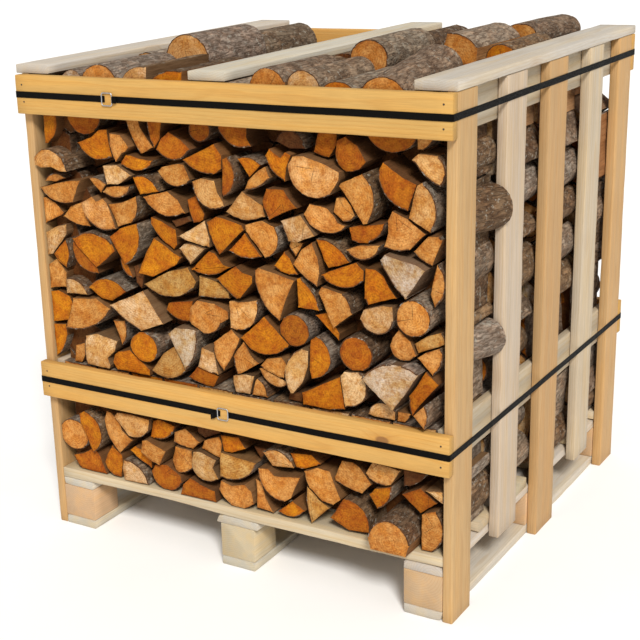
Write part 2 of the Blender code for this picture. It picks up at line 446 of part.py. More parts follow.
def front_and_rear_rails():
    for place, turn in (("front", -1), ("rear", 1)):
        outer = turn * HALF_DEPTH
        inner = turn * (HALF_DEPTH - RAIL_THICK)
        for level, top in (("top", FRAME_TOP), ("middle", MIDDLE_RAIL_TOP)):
            board(
                f"{place}_rail_{level}",
                (-HALF_WIDTH, min(outer, inner), top - RAIL_TALL),
                (HALF_WIDTH, max(outer, inner), top),
                materials["yellow"],
            )


def top_boards():
    low = FRAME_TOP + GAP
    for side, start, end in TOP_BOARD_SPANS:
        board(
            f"top_board_{side}",
            (start, -HALF_DEPTH + RAIL_THICK, low),
            (end, HALF_DEPTH, low + TOP_BOARD_THICK),
            materials["pale"],
        )


def ring_curve(name, half_x, half_y, thick, tall):
    """A flat band standing on edge round a rectangle, thick outwards from it and tall in Z."""
    curve = bpy.data.curves.new(name, "CURVE")
    curve.dimensions = "2D"
    curve.fill_mode = "BOTH"
    curve.extrude = tall / 2
    for grow in (0.0, thick):
        line = curve.splines.new("POLY")
        line.points.add(3)
        line.use_cyclic_u = True
        corners = ((-1, -1), (1, -1), (1, 1), (-1, 1))
        for point, (sx, sy) in zip(line.points, corners):
            point.co = (sx * (half_x + grow), sy * (half_y + grow), 0.0, 1.0)
    obj = bpy.data.objects.new(name, curve)
    crate.objects.link(obj)
    return obj


def straps():
    for level, height in STRAP_HEIGHTS.items():
        band = ring_curve(
            f"strap_{level}", HALF_WIDTH + GAP, HALF_DEPTH + GAP, STRAP_THICK, STRAP_TALL
        )
        band.location.z = height
        band.data.materials.append(materials["strap"])
        wire = bpy.data.curves.new(f"buckle_{level}", "CURVE")
        wire.dimensions = "3D"
        wire.bevel_depth = BUCKLE_WIRE / 2
        wire.bevel_resolution = 1
        loop = wire.splines.new("POLY")
        loop.points.add(3)
        loop.use_cyclic_u = True
        reach = (BUCKLE_SIZE - BUCKLE_WIRE) / 2
        for point, (sx, sz) in zip(loop.points, ((-1, -1), (1, -1), (1, 1), (-1, 1))):
            point.co = (sx * reach, 0.0, sz * reach, 1.0)
        buckle = bpy.data.objects.new(f"buckle_{level}", wire)
        strap_face = -HALF_DEPTH - GAP - STRAP_THICK
        buckle.location = (BUCKLE_X[level], strap_face - GAP - BUCKLE_WIRE / 2, height)
        buckle.data.materials.append(materials["steel"])
        crate.objects.link(buckle)


def cut(outline, point, normal):
    """The part of a convex outline on the side of the line through point that normal points away from."""
    kept = []
    for here, after in zip(outline, outline[1:] + outline[:1]):
        a = (here[0] - point[0]) * normal[0] + (here[1] - point[1]) * normal[1]
        b = (after[0] - point[0]) * normal[0] + (after[1] - point[1]) * normal[1]
        if a <= 0:
            kept.append(here)
        if (a < 0 < b) or (b < 0 < a):
            t = a / (a - b)
            kept.append((here[0] + t * (after[0] - here[0]), here[1] + t * (after[1] - here[1])))
    return kept


def middle_of(outline):
    return (sum(p[0] for p in outline) / len(outline), sum(p[1] for p in outline) / len(outline))


def area_of(outline):
    return sum(p[0] * q[1] - q[0] * p[1] for p, q in zip(outline, outline[1:] + outline[:1])) / 2


def tidy(outline, least):
    """The outline without points closer together than least."""
    kept = []
    for point in outline:
        if not kept or math.dist(point, kept[-1]) > least:
            kept.append(point)
    if len(kept) > 1 and math.dist(kept[0], kept[-1]) <= least:
        kept.pop()
    return kept


def separated(outlines, spacing=LOG_SPACING):
    """The outlines with every overlapping pair cut back along the line where they overlap least."""
    outlines = [list(outline) for outline in outlines]
    for i in range(len(outlines)):
        for j in range(i + 1, len(outlines)):
            first, second = outlines[i], outlines[j]
            if math.dist(middle_of(first), middle_of(second)) > 0.2:
                continue
            least = None
            for shape, sign in ((first, 1), (second, -1)):
                for p, q in zip(shape, shape[1:] + shape[:1]):
                    length = math.dist(p, q)
                    normal = ((q[1] - p[1]) / length * sign, (p[0] - q[0]) / length * sign)
                    far = max(x * normal[0] + z * normal[1] for x, z in first)
                    near = min(x * normal[0] + z * normal[1] for x, z in second)
                    if least is None or far - near < least[0]:
                        least = (far - near, normal, (far + near) / 2)
            if least[0] <= -spacing:
                continue
            normal, middle = least[1], least[2]
            back = middle - spacing / 2
            fore = middle + spacing / 2
            outlines[i] = cut(first, (normal[0] * back, normal[1] * back), normal)
            away = (-normal[0], -normal[1])
            outlines[j] = cut(second, (normal[0] * fore, normal[1] * fore), away)
    return outlines


def bark_arc(start, end, bulge, steps):
    """Points strictly between start and end on the arc that stands out to the right by bulge chords."""
    if bulge < 0.03:
        return []
    chord = math.dist(start, end)
    angle = 4 * math.atan(2 * bulge)
    radius = chord / (2 * math.sin(angle / 2))
    ahead = ((end[0] - start[0]) / chord, (end[1] - start[1]) / chord)
    right = (ahead[1], -ahead[0])
    drop = radius * math.cos(angle / 2)
    points = []
    for step in range(1, steps):
        turn = angle * (step / steps - 0.5)
        along = chord / 2 + radius * math.sin(turn)
        out = radius * math.cos(turn) - drop
        points.append(
            (start[0] + ahead[0] * along + right[0] * out, start[1] + ahead[1] * along + right[1] * out)
        )
    return points


def grown(outline, distance):
    """The outline with every edge moved outwards by this distance, and sharp corners not much further."""
    points = []
    for before, here, after in zip(outline[-1:] + outline[:-1], outline, outline[1:] + outline[:1]):
        sides = []
        for p, q in ((before, here), (here, after)):
            length = math.dist(p, q)
            sides.append(((q[1] - p[1]) / length, (p[0] - q[0]) / length))
        (ax, az), (bx, bz) = sides
        reach = distance / max(1 + ax * bx + az * bz, 0.8)
        points.append((here[0] + (ax + bx) * reach, here[1] + (az + bz) * reach))
    return points


def log_outline(bulge, corners):
    """The outline of one front log, in metres: its first edge is bark, and all of it on a whole round one."""
    corners = [((x - FRONT_DATUM) * CM, z * CM) for x, z in corners]
    steps = 2 if bulge < 0.25 else 3
    outline = [corners[0], *bark_arc(corners[0], corners[1], bulge, steps), *corners[1:]]
    if len(corners) == 2:
        outline += bark_arc(corners[1], corners[0], bulge, steps)
    return grown(outline, END_GROWTH)


def side_reach(outline):
    """How far out this log may reach: less where it lies behind an inner side rail."""
    low = min(z for x, z in outline)
    high = max(z for x, z in outline)
    for top in (FRAME_TOP, MIDDLE_RAIL_TOP):
        if low < top + 0.002 and high > top - RAIL_TALL - 0.002:
            return STACK_SIDE_AT_RAILS
    return STACK_SIDE


def kept_clear(outline):
    """The outline cut back from the uprights, the inner side rails and the deck."""
    side = side_reach(outline)
    outline = cut(outline, (side, 0), (1, 0))
    outline = cut(outline, (-side, 0), (-1, 0))
    return cut(outline, (0, STACK_FLOOR), (0, -1))


def front_bank():
    """(outline, how far its end stands out) of each log of the front row."""
    ends = FRONT_LOGS + HIDDEN_FRONT_LOGS
    found = [(log_outline(bulge, corners), out * CM) for out, bulge, *corners in ends]
    left, right = RAIL_BAND_SPAN
    wide = (right - left) / RAIL_BAND_LOGS
    low, high = RAIL_BAND
    for number in range(RAIL_BAND_LOGS):
        x = left + number * wide
        corners = ((x, low), (x + wide, low), (x + wide, high), (x, high))
        found.append((log_outline(0.0, corners), -0.005))
    outlines = separated([kept_clear(outline) for outline, out in found])
    kept = [(outline, out) for outline, (_, out) in zip(outlines, found) if area_of(outline) > LEAST_AREA]
    return [(tidy(outline, FRONT_DETAIL), out) for outline, out in kept]


def stack_ceiling(x, row):
    if row == 3 and x > LOW_CORNER_X:
        return LOW_CORNER_TOP
    return STACK_CEILING


def split_bank(row):
    """The same for a row behind it: split sections that pack its rectangle, drawn from the row's own seed."""
    draw = random.Random(SEEDS[row])
    sites = []
    wide = 2 * STACK_SIDE / SPLIT_COLUMNS
    tall = (STACK_CEILING - STACK_FLOOR) / SPLIT_LEVELS
    for level in range(SPLIT_LEVELS):
        for column in range(SPLIT_COLUMNS):
            x = -STACK_SIDE + wide * (column + 0.25 + 0.5 * (level % 2) + draw.uniform(-0.26, 0.26))
            z = STACK_FLOOR + tall * (level + 0.5 + draw.uniform(-0.26, 0.26))
            sites.append((x, z))
    bank = []
    for x, z in sites:
        ceiling = stack_ceiling(x, row)
        if z > ceiling - 0.02:
            continue
        outline = [
            (-STACK_SIDE, STACK_FLOOR),
            (STACK_SIDE, STACK_FLOOR),
            (STACK_SIDE, ceiling),
            (-STACK_SIDE, ceiling),
        ]
        for other in sites:
            if other != (x, z) and math.dist((x, z), other) < 0.3:
                away = (other[0] - x, other[1] - z)
                length = math.hypot(*away)
                unit = (away[0] / length, away[1] / length)
                reach = length / 2 - LOG_SPACING / 2
                outline = cut(outline, (x + unit[0] * reach, z + unit[1] * reach), unit)
        kind = draw.choice(SPLIT_KINDS)
        if z > ceiling - tall:
            kind = "crown"
        elif max(abs(p[0]) for p in outline) > STACK_SIDE - 0.002:
            kind = "side" if draw.random() < SIDE_BARK_SHARE else "slant"
        outline = rounded_by_bark(outline, kind, draw)
        outline = tidy(kept_clear(outline), ROW_DETAIL)
        out = draw.uniform(-0.022, -0.001)
        if len(outline) > 2 and area_of(outline) > LEAST_AREA:
            bank.append((outline, out))
    return bank


def rounded_by_bark(outline, kind, draw):
    """The cell trimmed to the trunk that its log was split from.

    A crown lies on top of the stack with its bark upwards, a side log has its bark to the crate's side,
    and a slanted one turns a split face there.
    """
    middle = middle_of(outline)
    side = math.copysign(side_reach(outline), middle[0])
    if kind == "slant":
        angle = draw.uniform(-0.6, 0.6)
        normal = (math.copysign(math.cos(angle), side), math.sin(angle))
        return cut(outline, (side - math.copysign(0.012, side), middle[1]), normal)
    if kind == "side":
        radius = draw.uniform(0.042, 0.060)
        heart = (side - math.copysign(radius, side), middle[1] + draw.uniform(-0.006, 0.006))
    elif kind == "round":
        heart = middle
        radius = 0.92 * max(math.dist(heart, p) for p in outline)
    elif kind == "crown":
        heart = (middle[0], min(z for x, z in outline))
        radius = max(z for x, z in outline) - heart[1] - draw.uniform(0.0, 0.014)
    else:
        pick = draw.randrange(len(outline))
        p, q = outline[pick], outline[(pick + 1) % len(outline)]
        heart = p if kind == "quarter" else ((p[0] + q[0]) / 2, (p[1] + q[1]) / 2)
        radius = 0.90 * max(math.dist(heart, p) for p in outline)
    for step in range(TRUNK_SIDES):
        angle = 2 * math.pi * step / TRUNK_SIDES
        normal = (math.cos(angle), math.sin(angle))
        outline = cut(outline, (heart[0] + radius * normal[0], heart[1] + radius * normal[1]), normal)
    return outline


def prism(shape, outline, start, end, lean=0.0):
    """Adds a closed prism of this (x, z) outline from y = start to y = end, where the outline is in place."""
    shift = lean * (end - start)
    front = [shape.verts.new((x - shift, start, z)) for x, z in outline]
    rear = [shape.verts.new((x, end, z)) for x, z in outline]
    shape.faces.new(front)
    shape.faces.new(rear[::-1])
    for here in range(len(outline)):
        after = (here + 1) % len(outline)
        shape.faces.new((front[after], front[here], rear[here], rear[after]))


def joined(solid, shape, name):
    """Unites the solid with the shape, which stays in the scene as a hidden helper."""
    helper = mesh_object(name, shape, materials["log"], helpers)
    helper.hide_render = True
    helper.display_type = "WIRE"
    join = solid.modifiers.new(name, "BOOLEAN")
    join.operation = "UNION"
    join.object = helper
    join.solver = "EXACT"


def reaches_outside(outline, core):
    low_x, high_x, low_z, high_z = core
    return any(not (low_x < x < high_x and low_z < z < high_z) for x, z in outline)


def firewood_row(row):
    """One bank of logs: its outer logs are whole, and the core takes up the unseen part of the inner ones."""
    start = ROW_FRONT + row * ROW_PITCH
    end = start + LOG_LONG
    bank = front_bank() if row == 0 else split_bank(row)
    side = STACK_SIDE_AT_RAILS - CORE_INSET
    core = (-side, side, STACK_FLOOR + CORE_INSET, STACK_CEILING - CORE_INSET)
    core_start = start + (CORE_RECESS if row == 0 else 0.0)
    core_end = end - (CORE_RECESS if row == LAST_ROW else 0.0)
    logs = bmesh.new()
    for outline, out in bank:
        outer = reaches_outside(outline, core)
        log_start = start - out if row == 0 else start + 0.004
        log_end = end + out if row == LAST_ROW else end - 0.004
        if row == 0 and not outer:
            log_end = core_start + 0.01
        elif row == LAST_ROW and not outer:
            log_start = core_end - 0.01
        elif not outer:
            continue
        prism(logs, outline, log_start, log_end)
    name = f"firewood_row_{row + 1}"
    solid = board(
        name, (core[0], core_start, core[2]), (core[1], core_end, core[3]), materials["log"], edge=0.0
    )
    joined(solid, logs, name + "_logs")
    if row == 0:
        joined(solid, leaning_logs(), name + "_leaning_logs")


def ring(sides, radius, middle):
    turns = [2 * math.pi * (step + 0.5) / sides for step in range(sides)]
    return [(middle[0] + radius * math.cos(turn), middle[1] + radius * math.sin(turn)) for turn in turns]


def leaning_logs():
    """The rear stretch of the round logs whose rear ends stand out of the crate's right side."""
    logs = bmesh.new()
    end = -HALF_DEPTH + RAIL_THICK + GAP + UPRIGHTS[1][1] - 0.002
    for height, radius, proud in LEANING_LOGS:
        outline = ring(LEANING_LOG_SIDES, radius, (HALF_WIDTH + proud - radius, height))
        prism(logs, outline, end - LEANING_LOG_LONG, end, lean=LEAN)
    return logs


def top_log_section(wide, tall, kind):
    half = wide / 2
    if kind == "half":
        return [(-half, 0), (half, 0), *bark_arc((half, 0.0), (-half, 0.0), tall / wide, 6)]
    if kind == "wedge":
        flank = [(-half, 0), (half * 0.9, 0), (half, tall * 0.45)]
        return flank + bark_arc((half, tall * 0.45), (-half * 0.55, tall * 0.8), 0.16, 3) + [
            (-half * 0.55, tall * 0.8)
        ]
    squash = tall / wide
    return [(x, (z + half) * squash) for x, z in ring(8, half, (0.0, 0.0))]


def loose_logs():
    for number, (x, y, z, wide, tall, turn, rise, kind) in enumerate(TOP_LOGS, start=1):
        shape = bmesh.new()
        prism(shape, top_log_section(wide, tall, kind), -LOG_LONG / 2, LOG_LONG / 2)
        log = mesh_object(f"top_log_{number}", shape, materials["log"], crate)
        log.location = (x, y, z)
        log.rotation_euler = (math.radians(rise), 0.0, math.radians(turn))


clear_scene()
crate = bpy.data.collections.new("crate_of_firewood")
helpers = bpy.data.collections.new("log_banks")
bpy.context.scene.collection.children.link(crate)
bpy.context.scene.collection.children.link(helpers)
materials["yellow"] = material("yellow pine", YELLOW_PINE, 0.6)
materials["post"] = material("post pine", POST_PINE, 0.65)
materials["pale"] = material("pale pine", PALE_PINE, 0.7)
materials["log"] = material("split log", LOG_WOOD, 0.8)
materials["strap"] = material("black strap", STRAP_BLACK, 0.4)
materials["steel"] = material("galvanised wire", STEEL, 0.35, 1.0)
pallet_base()
side_frames()
front_and_rear_rails()
top_boards()
straps()
for row_number in range(LAST_ROW + 1):
    firewood_row(row_number)
loose_logs()
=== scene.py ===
"""Looks of the crate of firewood: boards, split logs, straps, nails, light and camera round the frame."""

import math
import random

import bpy
from mathutils import Euler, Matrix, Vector, noise


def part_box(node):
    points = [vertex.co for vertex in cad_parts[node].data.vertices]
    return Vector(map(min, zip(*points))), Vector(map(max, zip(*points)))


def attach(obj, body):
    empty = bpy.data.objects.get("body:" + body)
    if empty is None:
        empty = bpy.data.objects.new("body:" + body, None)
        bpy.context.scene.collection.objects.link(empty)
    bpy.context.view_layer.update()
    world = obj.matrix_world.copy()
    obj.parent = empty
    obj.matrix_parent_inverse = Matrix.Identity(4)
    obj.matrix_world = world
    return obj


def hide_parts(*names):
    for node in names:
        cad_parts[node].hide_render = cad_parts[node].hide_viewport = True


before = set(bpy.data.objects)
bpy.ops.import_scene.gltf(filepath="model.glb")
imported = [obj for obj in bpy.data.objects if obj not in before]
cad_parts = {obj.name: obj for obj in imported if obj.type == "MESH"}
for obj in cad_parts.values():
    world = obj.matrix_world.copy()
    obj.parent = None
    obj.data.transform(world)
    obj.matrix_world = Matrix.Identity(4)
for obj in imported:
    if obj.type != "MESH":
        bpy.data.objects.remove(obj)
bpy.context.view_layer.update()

CM = 0.01
BARK = 1
SPLIT = 0

# The crate, as the solids have it
CRATE_WIDTH = 1.07
CRATE_DEPTH = 1.08
FRAME_TOP = 1.114
HALF_WIDTH = CRATE_WIDTH / 2
HALF_DEPTH = CRATE_DEPTH / 2
UPRIGHT_THICK = 0.023
RAIL_THICK = 0.022
RAIL_TALL = 0.088
SIDE_RAIL_THICK = 0.020
MIDDLE_RAIL_TOP = 0.431
DECK_TOP = 0.150

# The rows of logs, as the solids have them
LOG_LONG = 0.250
ROW_PITCH = 0.259
ROW_FRONT = -HALF_DEPTH + 0.030
LAST_ROW = 3
LOG_SPACING = 0.0015
LEAST_AREA = 0.0003
END_GROWTH = 0.0045
STACK_SIDE = HALF_WIDTH - UPRIGHT_THICK - 0.001
STACK_SIDE_AT_RAILS = STACK_SIDE - SIDE_RAIL_THICK - 0.001
STACK_FLOOR = DECK_TOP + 0.002
STACK_CEILING = 1.080
FRONT_DATUM = 52.3
SEEDS = (0, 11, 23, 37)
SPLIT_KINDS = ("half", "half", "quarter", "quarter", "round")
SPLIT_COLUMNS = 10
SPLIT_LEVELS = 10
SPLIT_TALL = (STACK_CEILING - STACK_FLOOR) / SPLIT_LEVELS
TRUNK_SIDES = 40
SIDE_BARK_SHARE = 0.7
LOW_CORNER_X = 0.45
LOW_CORNER_TOP = 0.955

# Front logs: the least bulge that counts as bark, how near two must be to be set apart, and the round side
# of those that reach the crate's right-hand side
LEAST_BULGE = 0.03
NEIGHBOUR_REACH = 0.2
SIDE_TOUCH = 0.006
SIDE_ROUNDNESS = 0.58
LEAST_SIDE_RADIUS = 0.030

# Split logs: shifted sites on a grid, the cell round each, and how each kind of log is trimmed from its cell
SITE_SHIFT = 0.26
SITE_REACH = 0.3
SITE_HEADROOM = 0.02
SIDE_NEAR = 0.002
SLANT_TURN = 0.6
SLANT_BACK = 0.012
SIDE_RADIUS = (0.042, 0.060)
SIDE_SHIFT = 0.006
ROUND_FILL = 0.92
SPLIT_FILL = 0.90
CROWN_SINK = 0.014
REAR_END_SHIFT = (-0.022, -0.001)


def srgb(red, green, blue):
    """The linear colour of one given as a screen shows it, 0 to 255."""
    parts = [value / 255 for value in (red, green, blue)]
    return tuple(p / 12.92 if p <= 0.04045 else ((p + 0.055) / 1.055) ** 2.4 for p in parts)


# Colours of the log ends and of the bark
TONES = {
    "honey": srgb(189, 132, 67),
    "pale": srgb(198, 149, 91),
    "orange": srgb(180, 109, 8),
    "amber": srgb(160, 92, 12),
    "straw": srgb(199, 162, 116),
    "grain": srgb(180, 137, 76),
    "grey": srgb(184, 162, 136),
    "rough": srgb(188, 152, 104),
    # Painted shade: a dark brown for ends that sit back in shadow and for the ends deep in the gaps
    "shade": srgb(98, 60, 26),
}
BARK_TONES = (
    srgb(126, 107, 88),
    srgb(142, 126, 108),
    srgb(108, 86, 64),
    srgb(118, 95, 70),
    srgb(134, 120, 106),
)
BARK_EDGE = srgb(92, 62, 38)
SPLIT_WOOD = srgb(184, 136, 94)
HIDDEN_TONES = ("honey", "pale", "orange", "amber", "grain", "grey", "rough", "straw")

# The ends of the front row, seen from the front, in centimetres from the front's left end: colour, how far
# the end stands out, the bulge of its bark side as a part of that side's length, and its corners (x, z)
# anticlockwise, with the bark between the first two
FRONT_LOGS = (
    # The lower opening, left to right
    ("honey", 0.5, 0.43, (1.0, 24.4), (9.6, 24.4)),
    ("orange", 1.5, 0.36, (11.6, 21.5), (10.0, 31.3), (8.5, 30.5), (8.7, 28.5), (9.8, 25.5)),
    ("amber", 0.0, 0.08, (4.6, 18.3), (6.5, 15.6), (13.8, 15.6), (12.2, 19.6), (10.8, 21.2), (7.5, 19.2)),
    ("honey", 0.5, 0.12, (15.4, 30.0), (19.1, 22.4), (22.6, 26.0), (20.0, 27.8), (18.6, 31.3),
        (16.2, 32.0)),
    ("pale", 1.0, 0.40, (18.9, 31.4), (28.8, 31.4), (28.6, 32.3), (24.0, 32.6), (19.6, 32.4)),
    ("orange", 0.0, 0.22, (28.4, 28.2), (35.0, 31.4), (31.0, 32.3), (29.2, 31.6)),
    ("orange", -0.5, 0.04, (21.9, 22.9), (27.4, 19.9), (27.6, 22.4), (23.2, 23.8)),
    ("honey", 1.5, 0.04, (26.5, 24.2), (31.3, 22.1), (33.1, 25.5), (28.2, 27.2), (27.1, 26.8)),
    ("orange", 0.0, 0.22, (14.3, 18.5), (18.6, 15.8), (19.3, 19.0), (19.0, 21.4), (16.7, 23.0),
        (15.1, 20.5)),
    ("straw", 0.5, 0.22, (26.8, 15.5), (20.5, 20.2), (19.9, 18.5), (20.4, 15.5)),
    ("amber", 0.5, 0.38, (28.5, 19.2), (36.6, 18.0), (36.2, 19.8), (33.0, 21.6), (29.6, 21.0)),
    ("honey", 0.0, 0.12, (35.6, 20.6), (40.0, 22.5), (39.9, 26.3), (35.6, 26.4), (34.7, 23.0)),
    ("honey", 0.0, 0.05, (35.2, 28.0), (40.2, 27.3), (42.0, 28.9), (38.4, 31.3), (35.6, 30.1)),
    ("honey", 0.0, 0.03, (43.2, 27.6), (48.0, 26.6), (48.4, 29.0), (47.5, 31.0), (44.0, 29.8)),
    ("shade", -1.0, 0.05, (41.6, 31.2), (43.6, 30.3), (47.3, 31.9), (47.0, 33.8), (41.3, 33.8)),
    ("orange", 0.0, 0.03, (49.0, 28.5), (50.6, 28.2), (54.4, 30.0), (53.0, 31.9), (48.4, 31.6)),
    ("rough", 1.0, 0.33, (40.6, 24.4), (47.3, 21.4), (46.0, 23.8), (46.9, 25.8), (43.4, 27.0),
        (41.3, 26.6)),
    ("grain", 0.5, 0.20, (48.2, 22.2), (57.6, 27.0), (52.0, 27.5), (48.3, 27.7)),
    ("amber", 1.0, 0.02, (37.2, 15.3), (46.4, 15.3), (46.2, 17.8), (42.5, 18.6), (39.8, 19.6),
        (38.0, 17.8)),
    ("honey", 0.5, 0.28, (47.8, 18.6), (56.4, 17.0), (56.0, 19.5), (54.4, 20.9), (51.0, 19.9),
        (48.3, 20.4)),
    ("honey", 1.5, 0.30, (59.7, 28.0), (65.5, 20.1), (67.2, 21.3), (69.4, 26.2), (62.8, 25.2)),
    ("pale", 0.5, 0.25, (67.2, 28.2), (60.0, 30.1), (63.3, 26.0)),
    ("orange", 0.0, 0.10, (68.0, 28.3), (73.6, 30.0), (71.8, 31.4), (66.8, 30.9)),
    ("shade", -1.5, 0.05, (58.0, 28.0), (59.2, 29.9), (56.4, 30.0)),
    ("honey", 0.0, 0.02, (57.6, 22.5), (57.7, 16.3), (61.5, 15.8), (59.4, 18.8), (58.4, 22.3)),
    ("orange", 0.0, 0.18, (63.4, 16.4), (69.4, 17.8), (66.8, 19.2)),
    ("grain", 0.0, 0.04, (70.6, 24.4), (71.6, 15.5), (76.0, 20.1), (73.3, 21.2)),
    ("honey", 0.5, 0.23, (70.6, 27.8), (77.2, 21.6), (78.8, 22.9), (77.3, 26.6), (76.9, 28.6),
        (73.0, 28.8)),
    ("honey", 0.0, 0.03, (77.8, 27.3), (84.0, 25.5), (86.4, 28.0), (84.5, 30.3), (82.1, 31.8),
        (79.6, 31.6)),
    ("pale", 0.0, 0.15, (85.3, 29.9), (90.8, 28.9), (93.0, 32.2), (87.0, 32.6)),
    ("shade", -0.5, 0.12, (94.1, 29.2), (98.7, 32.4), (94.1, 32.5)),
    ("orange", 0.0, 0.17, (87.9, 22.8), (91.0, 28.0), (87.5, 26.8), (86.2, 25.3)),
    ("amber", -0.5, 0.02, (93.8, 26.8), (97.8, 23.8), (101.0, 26.3), (97.6, 28.8)),
    ("straw", 0.0, 0.02, (99.2, 29.0), (103.2, 26.9), (103.3, 29.2)),
    ("amber", 0.0, 0.25, (85.6, 16.6), (80.0, 22.8), (77.9, 19.4), (76.6, 17.8), (81.0, 16.0)),
    ("honey", 5.0, 0.48, (97.4, 18.2), (88.4, 18.2), (89.0, 15.4), (96.6, 15.4)),
    ("honey", 0.0, 0.02, (98.6, 15.4), (103.4, 15.4), (103.4, 25.4), (98.6, 23.3)),
    # The upper opening, from the mid rail up to Z 54
    ("straw", 0.5, 0.10, (11.6, 50.2), (11.6, 43.4), (18.3, 43.4), (17.0, 46.0), (20.0, 48.7),
        (20.6, 50.2), (15.0, 51.2)),
    ("orange", 0.5, 0.02, (20.6, 43.5), (29.4, 43.5), (29.5, 44.8), (24.2, 48.4), (21.0, 47.6),
        (18.9, 45.9)),
    ("honey", -0.5, 0.02, (6.9, 43.5), (8.4, 43.5), (9.8, 45.8), (9.7, 47.8), (7.6, 47.0)),
    ("orange", 0.0, 0.10, (0.9, 43.8), (4.9, 49.5), (4.7, 52.0), (0.8, 51.6)),
    ("honey", 0.0, 0.15, (21.8, 49.9), (22.8, 55.2), (20.0, 55.0)),
    ("orange", 1.0, 0.46, (25.2, 50.3), (32.5, 50.5)),
    ("grain", 0.5, 0.20, (30.8, 45.0), (39.4, 46.2), (37.2, 51.3), (34.0, 49.3)),
    ("grey", 1.0, 0.12, (40.0, 46.8), (43.4, 56.4), (38.0, 56.0), (36.2, 54.4)),
    ("straw", 0.5, 0.04, (43.9, 48.0), (48.4, 47.0), (47.5, 51.3), (44.9, 51.9)),
    ("honey", 0.5, 0.13, (48.3, 54.0), (50.3, 48.4), (52.6, 51.8), (54.5, 55.8), (52.6, 57.4)),
    ("honey", 0.5, 0.12, (53.6, 52.3), (54.1, 47.9), (59.2, 51.0), (57.3, 52.2), (55.7, 55.0)),
    ("honey", 0.0, 0.12, (60.2, 50.4), (65.2, 48.8), (65.8, 51.5), (64.9, 52.7), (61.5, 51.9)),
    ("pale", -0.5, 0.26, (59.5, 49.2), (65.8, 47.0), (65.0, 48.0), (60.5, 49.5)),
    ("straw", 1.0, 0.25, (70.6, 55.8), (68.0, 45.6), (70.3, 48.5), (72.0, 53.0), (72.0, 55.6)),
    ("orange", 0.5, 0.04, (70.8, 43.4), (80.2, 44.3), (80.0, 47.5), (79.5, 50.8), (75.0, 48.4),
        (70.6, 46.0)),
    ("straw", 1.0, 0.38, (81.1, 45.2), (84.0, 52.9), (81.2, 52.7), (80.2, 51.5), (80.6, 47.8)),
    ("grey", 2.5, 0.20, (98.2, 55.0), (86.0, 52.4), (92.6, 46.8)),
    ("amber", 0.0, 0.07, (95.6, 49.3), (96.1, 45.4), (99.0, 49.8), (101.4, 52.7), (99.0, 54.6)),
    ("honey", 3.4, 0.12, (101.2, 43.5), (101.0, 49.6), (98.2, 46.7)),
    ("straw", 0.0, 0.36, (92.0, 45.0), (86.2, 44.0), (89.0, 43.4), (91.8, 43.4)),
    ("honey", -0.5, 0.05, (93.9, 43.4), (95.1, 45.0), (92.7, 44.9), (92.6, 43.4)),
    ("straw", 0.0, 0.10, (52.8, 47.0), (53.3, 43.4), (56.4, 43.4), (57.1, 46.0), (58.5, 47.7),
        (54.0, 47.3)),
    ("honey", 0.0, 0.12, (61.0, 43.4), (58.8, 47.0), (57.6, 46.0), (57.1, 43.4)),
    ("amber", 0.0, 0.05, (40.6, 44.8), (46.6, 43.6), (48.0, 46.0), (45.0, 46.8), (42.9, 47.2)),
    ("shade", -1.0, 0.02, (66.2, 43.4), (69.4, 43.4), (69.0, 45.5), (66.6, 45.4)),
    # The upper opening, from Z 54 to 66
    ("orange", 0.0, 0.08, (0.8, 59.6), (1.3, 52.9), (6.0, 54.0), (7.5, 57.6), (6.8, 59.2), (3.5, 60.3)),
    ("honey", 1.0, 0.14, (6.2, 52.2), (19.4, 58.2), (15.5, 60.0), (8.8, 59.3)),
    ("straw", 1.5, 0.03, (20.4, 59.4), (28.7, 54.7), (34.6, 57.0), (29.7, 63.6)),
    ("honey", 0.0, 0.06, (1.1, 66.3), (1.3, 61.3), (6.1, 62.0), (6.4, 65.2), (4.1, 68.0)),
    ("straw", 0.5, 0.20, (12.8, 61.0), (7.0, 63.8), (7.0, 60.8)),
    ("orange", 0.5, 0.22, (23.8, 63.0), (13.7, 62.7), (17.0, 60.8), (20.0, 60.6)),
    ("amber", -1.0, 0.15, (34.8, 59.6), (41.0, 58.0), (41.5, 62.2), (35.4, 61.0)),
    ("honey", 0.5, 0.33, (42.0, 58.4), (50.0, 59.1), (52.0, 60.4), (52.0, 61.6), (48.5, 62.8),
        (44.2, 63.0), (42.5, 61.3)),
    ("pale", 0.5, 0.28, (52.8, 58.4), (59.5, 65.0), (55.0, 64.0), (52.8, 64.3)),
    ("orange", 0.5, 0.22, (55.4, 56.2), (66.6, 56.0), (67.0, 56.7), (61.6, 61.8)),
    ("amber", 0.5, 0.50, (65.5, 59.8), (72.0, 59.8)),
    ("orange", 1.0, 0.40, (73.3, 50.2), (74.3, 59.2), (73.0, 58.2), (72.6, 52.4)),
    ("amber", 1.0, 0.48, (80.1, 57.0), (87.4, 56.9)),
    ("honey", 0.5, 0.33, (91.6, 59.6), (96.6, 58.4), (95.5, 61.0), (93.3, 62.9), (92.1, 61.4)),
    ("grain", 0.0, 0.04, (96.9, 60.6), (97.5, 59.2), (103.2, 61.8), (103.2, 64.0), (99.5, 62.4)),
    ("honey", 0.0, 0.12, (100.5, 54.9), (102.4, 60.6), (99.5, 59.3), (97.6, 57.8)),
    ("orange", -0.5, 0.02, (73.8, 63.5), (78.8, 59.0), (78.8, 60.5), (76.5, 64.2)),
    # The upper opening, from Z 64 to 76
    ("straw", 0.0, 0.05, (1.2, 74.2), (1.5, 69.5), (3.4, 69.9), (7.2, 74.2), (7.6, 76.8), (5.5, 76.2)),
    ("orange", 0.5, 0.15, (7.2, 67.2), (7.6, 73.2), (3.9, 69.9), (5.0, 68.2)),
    ("orange", 1.0, 0.18, (21.6, 73.6), (10.6, 74.1), (12.0, 72.0), (16.4, 68.2), (22.0, 72.4)),
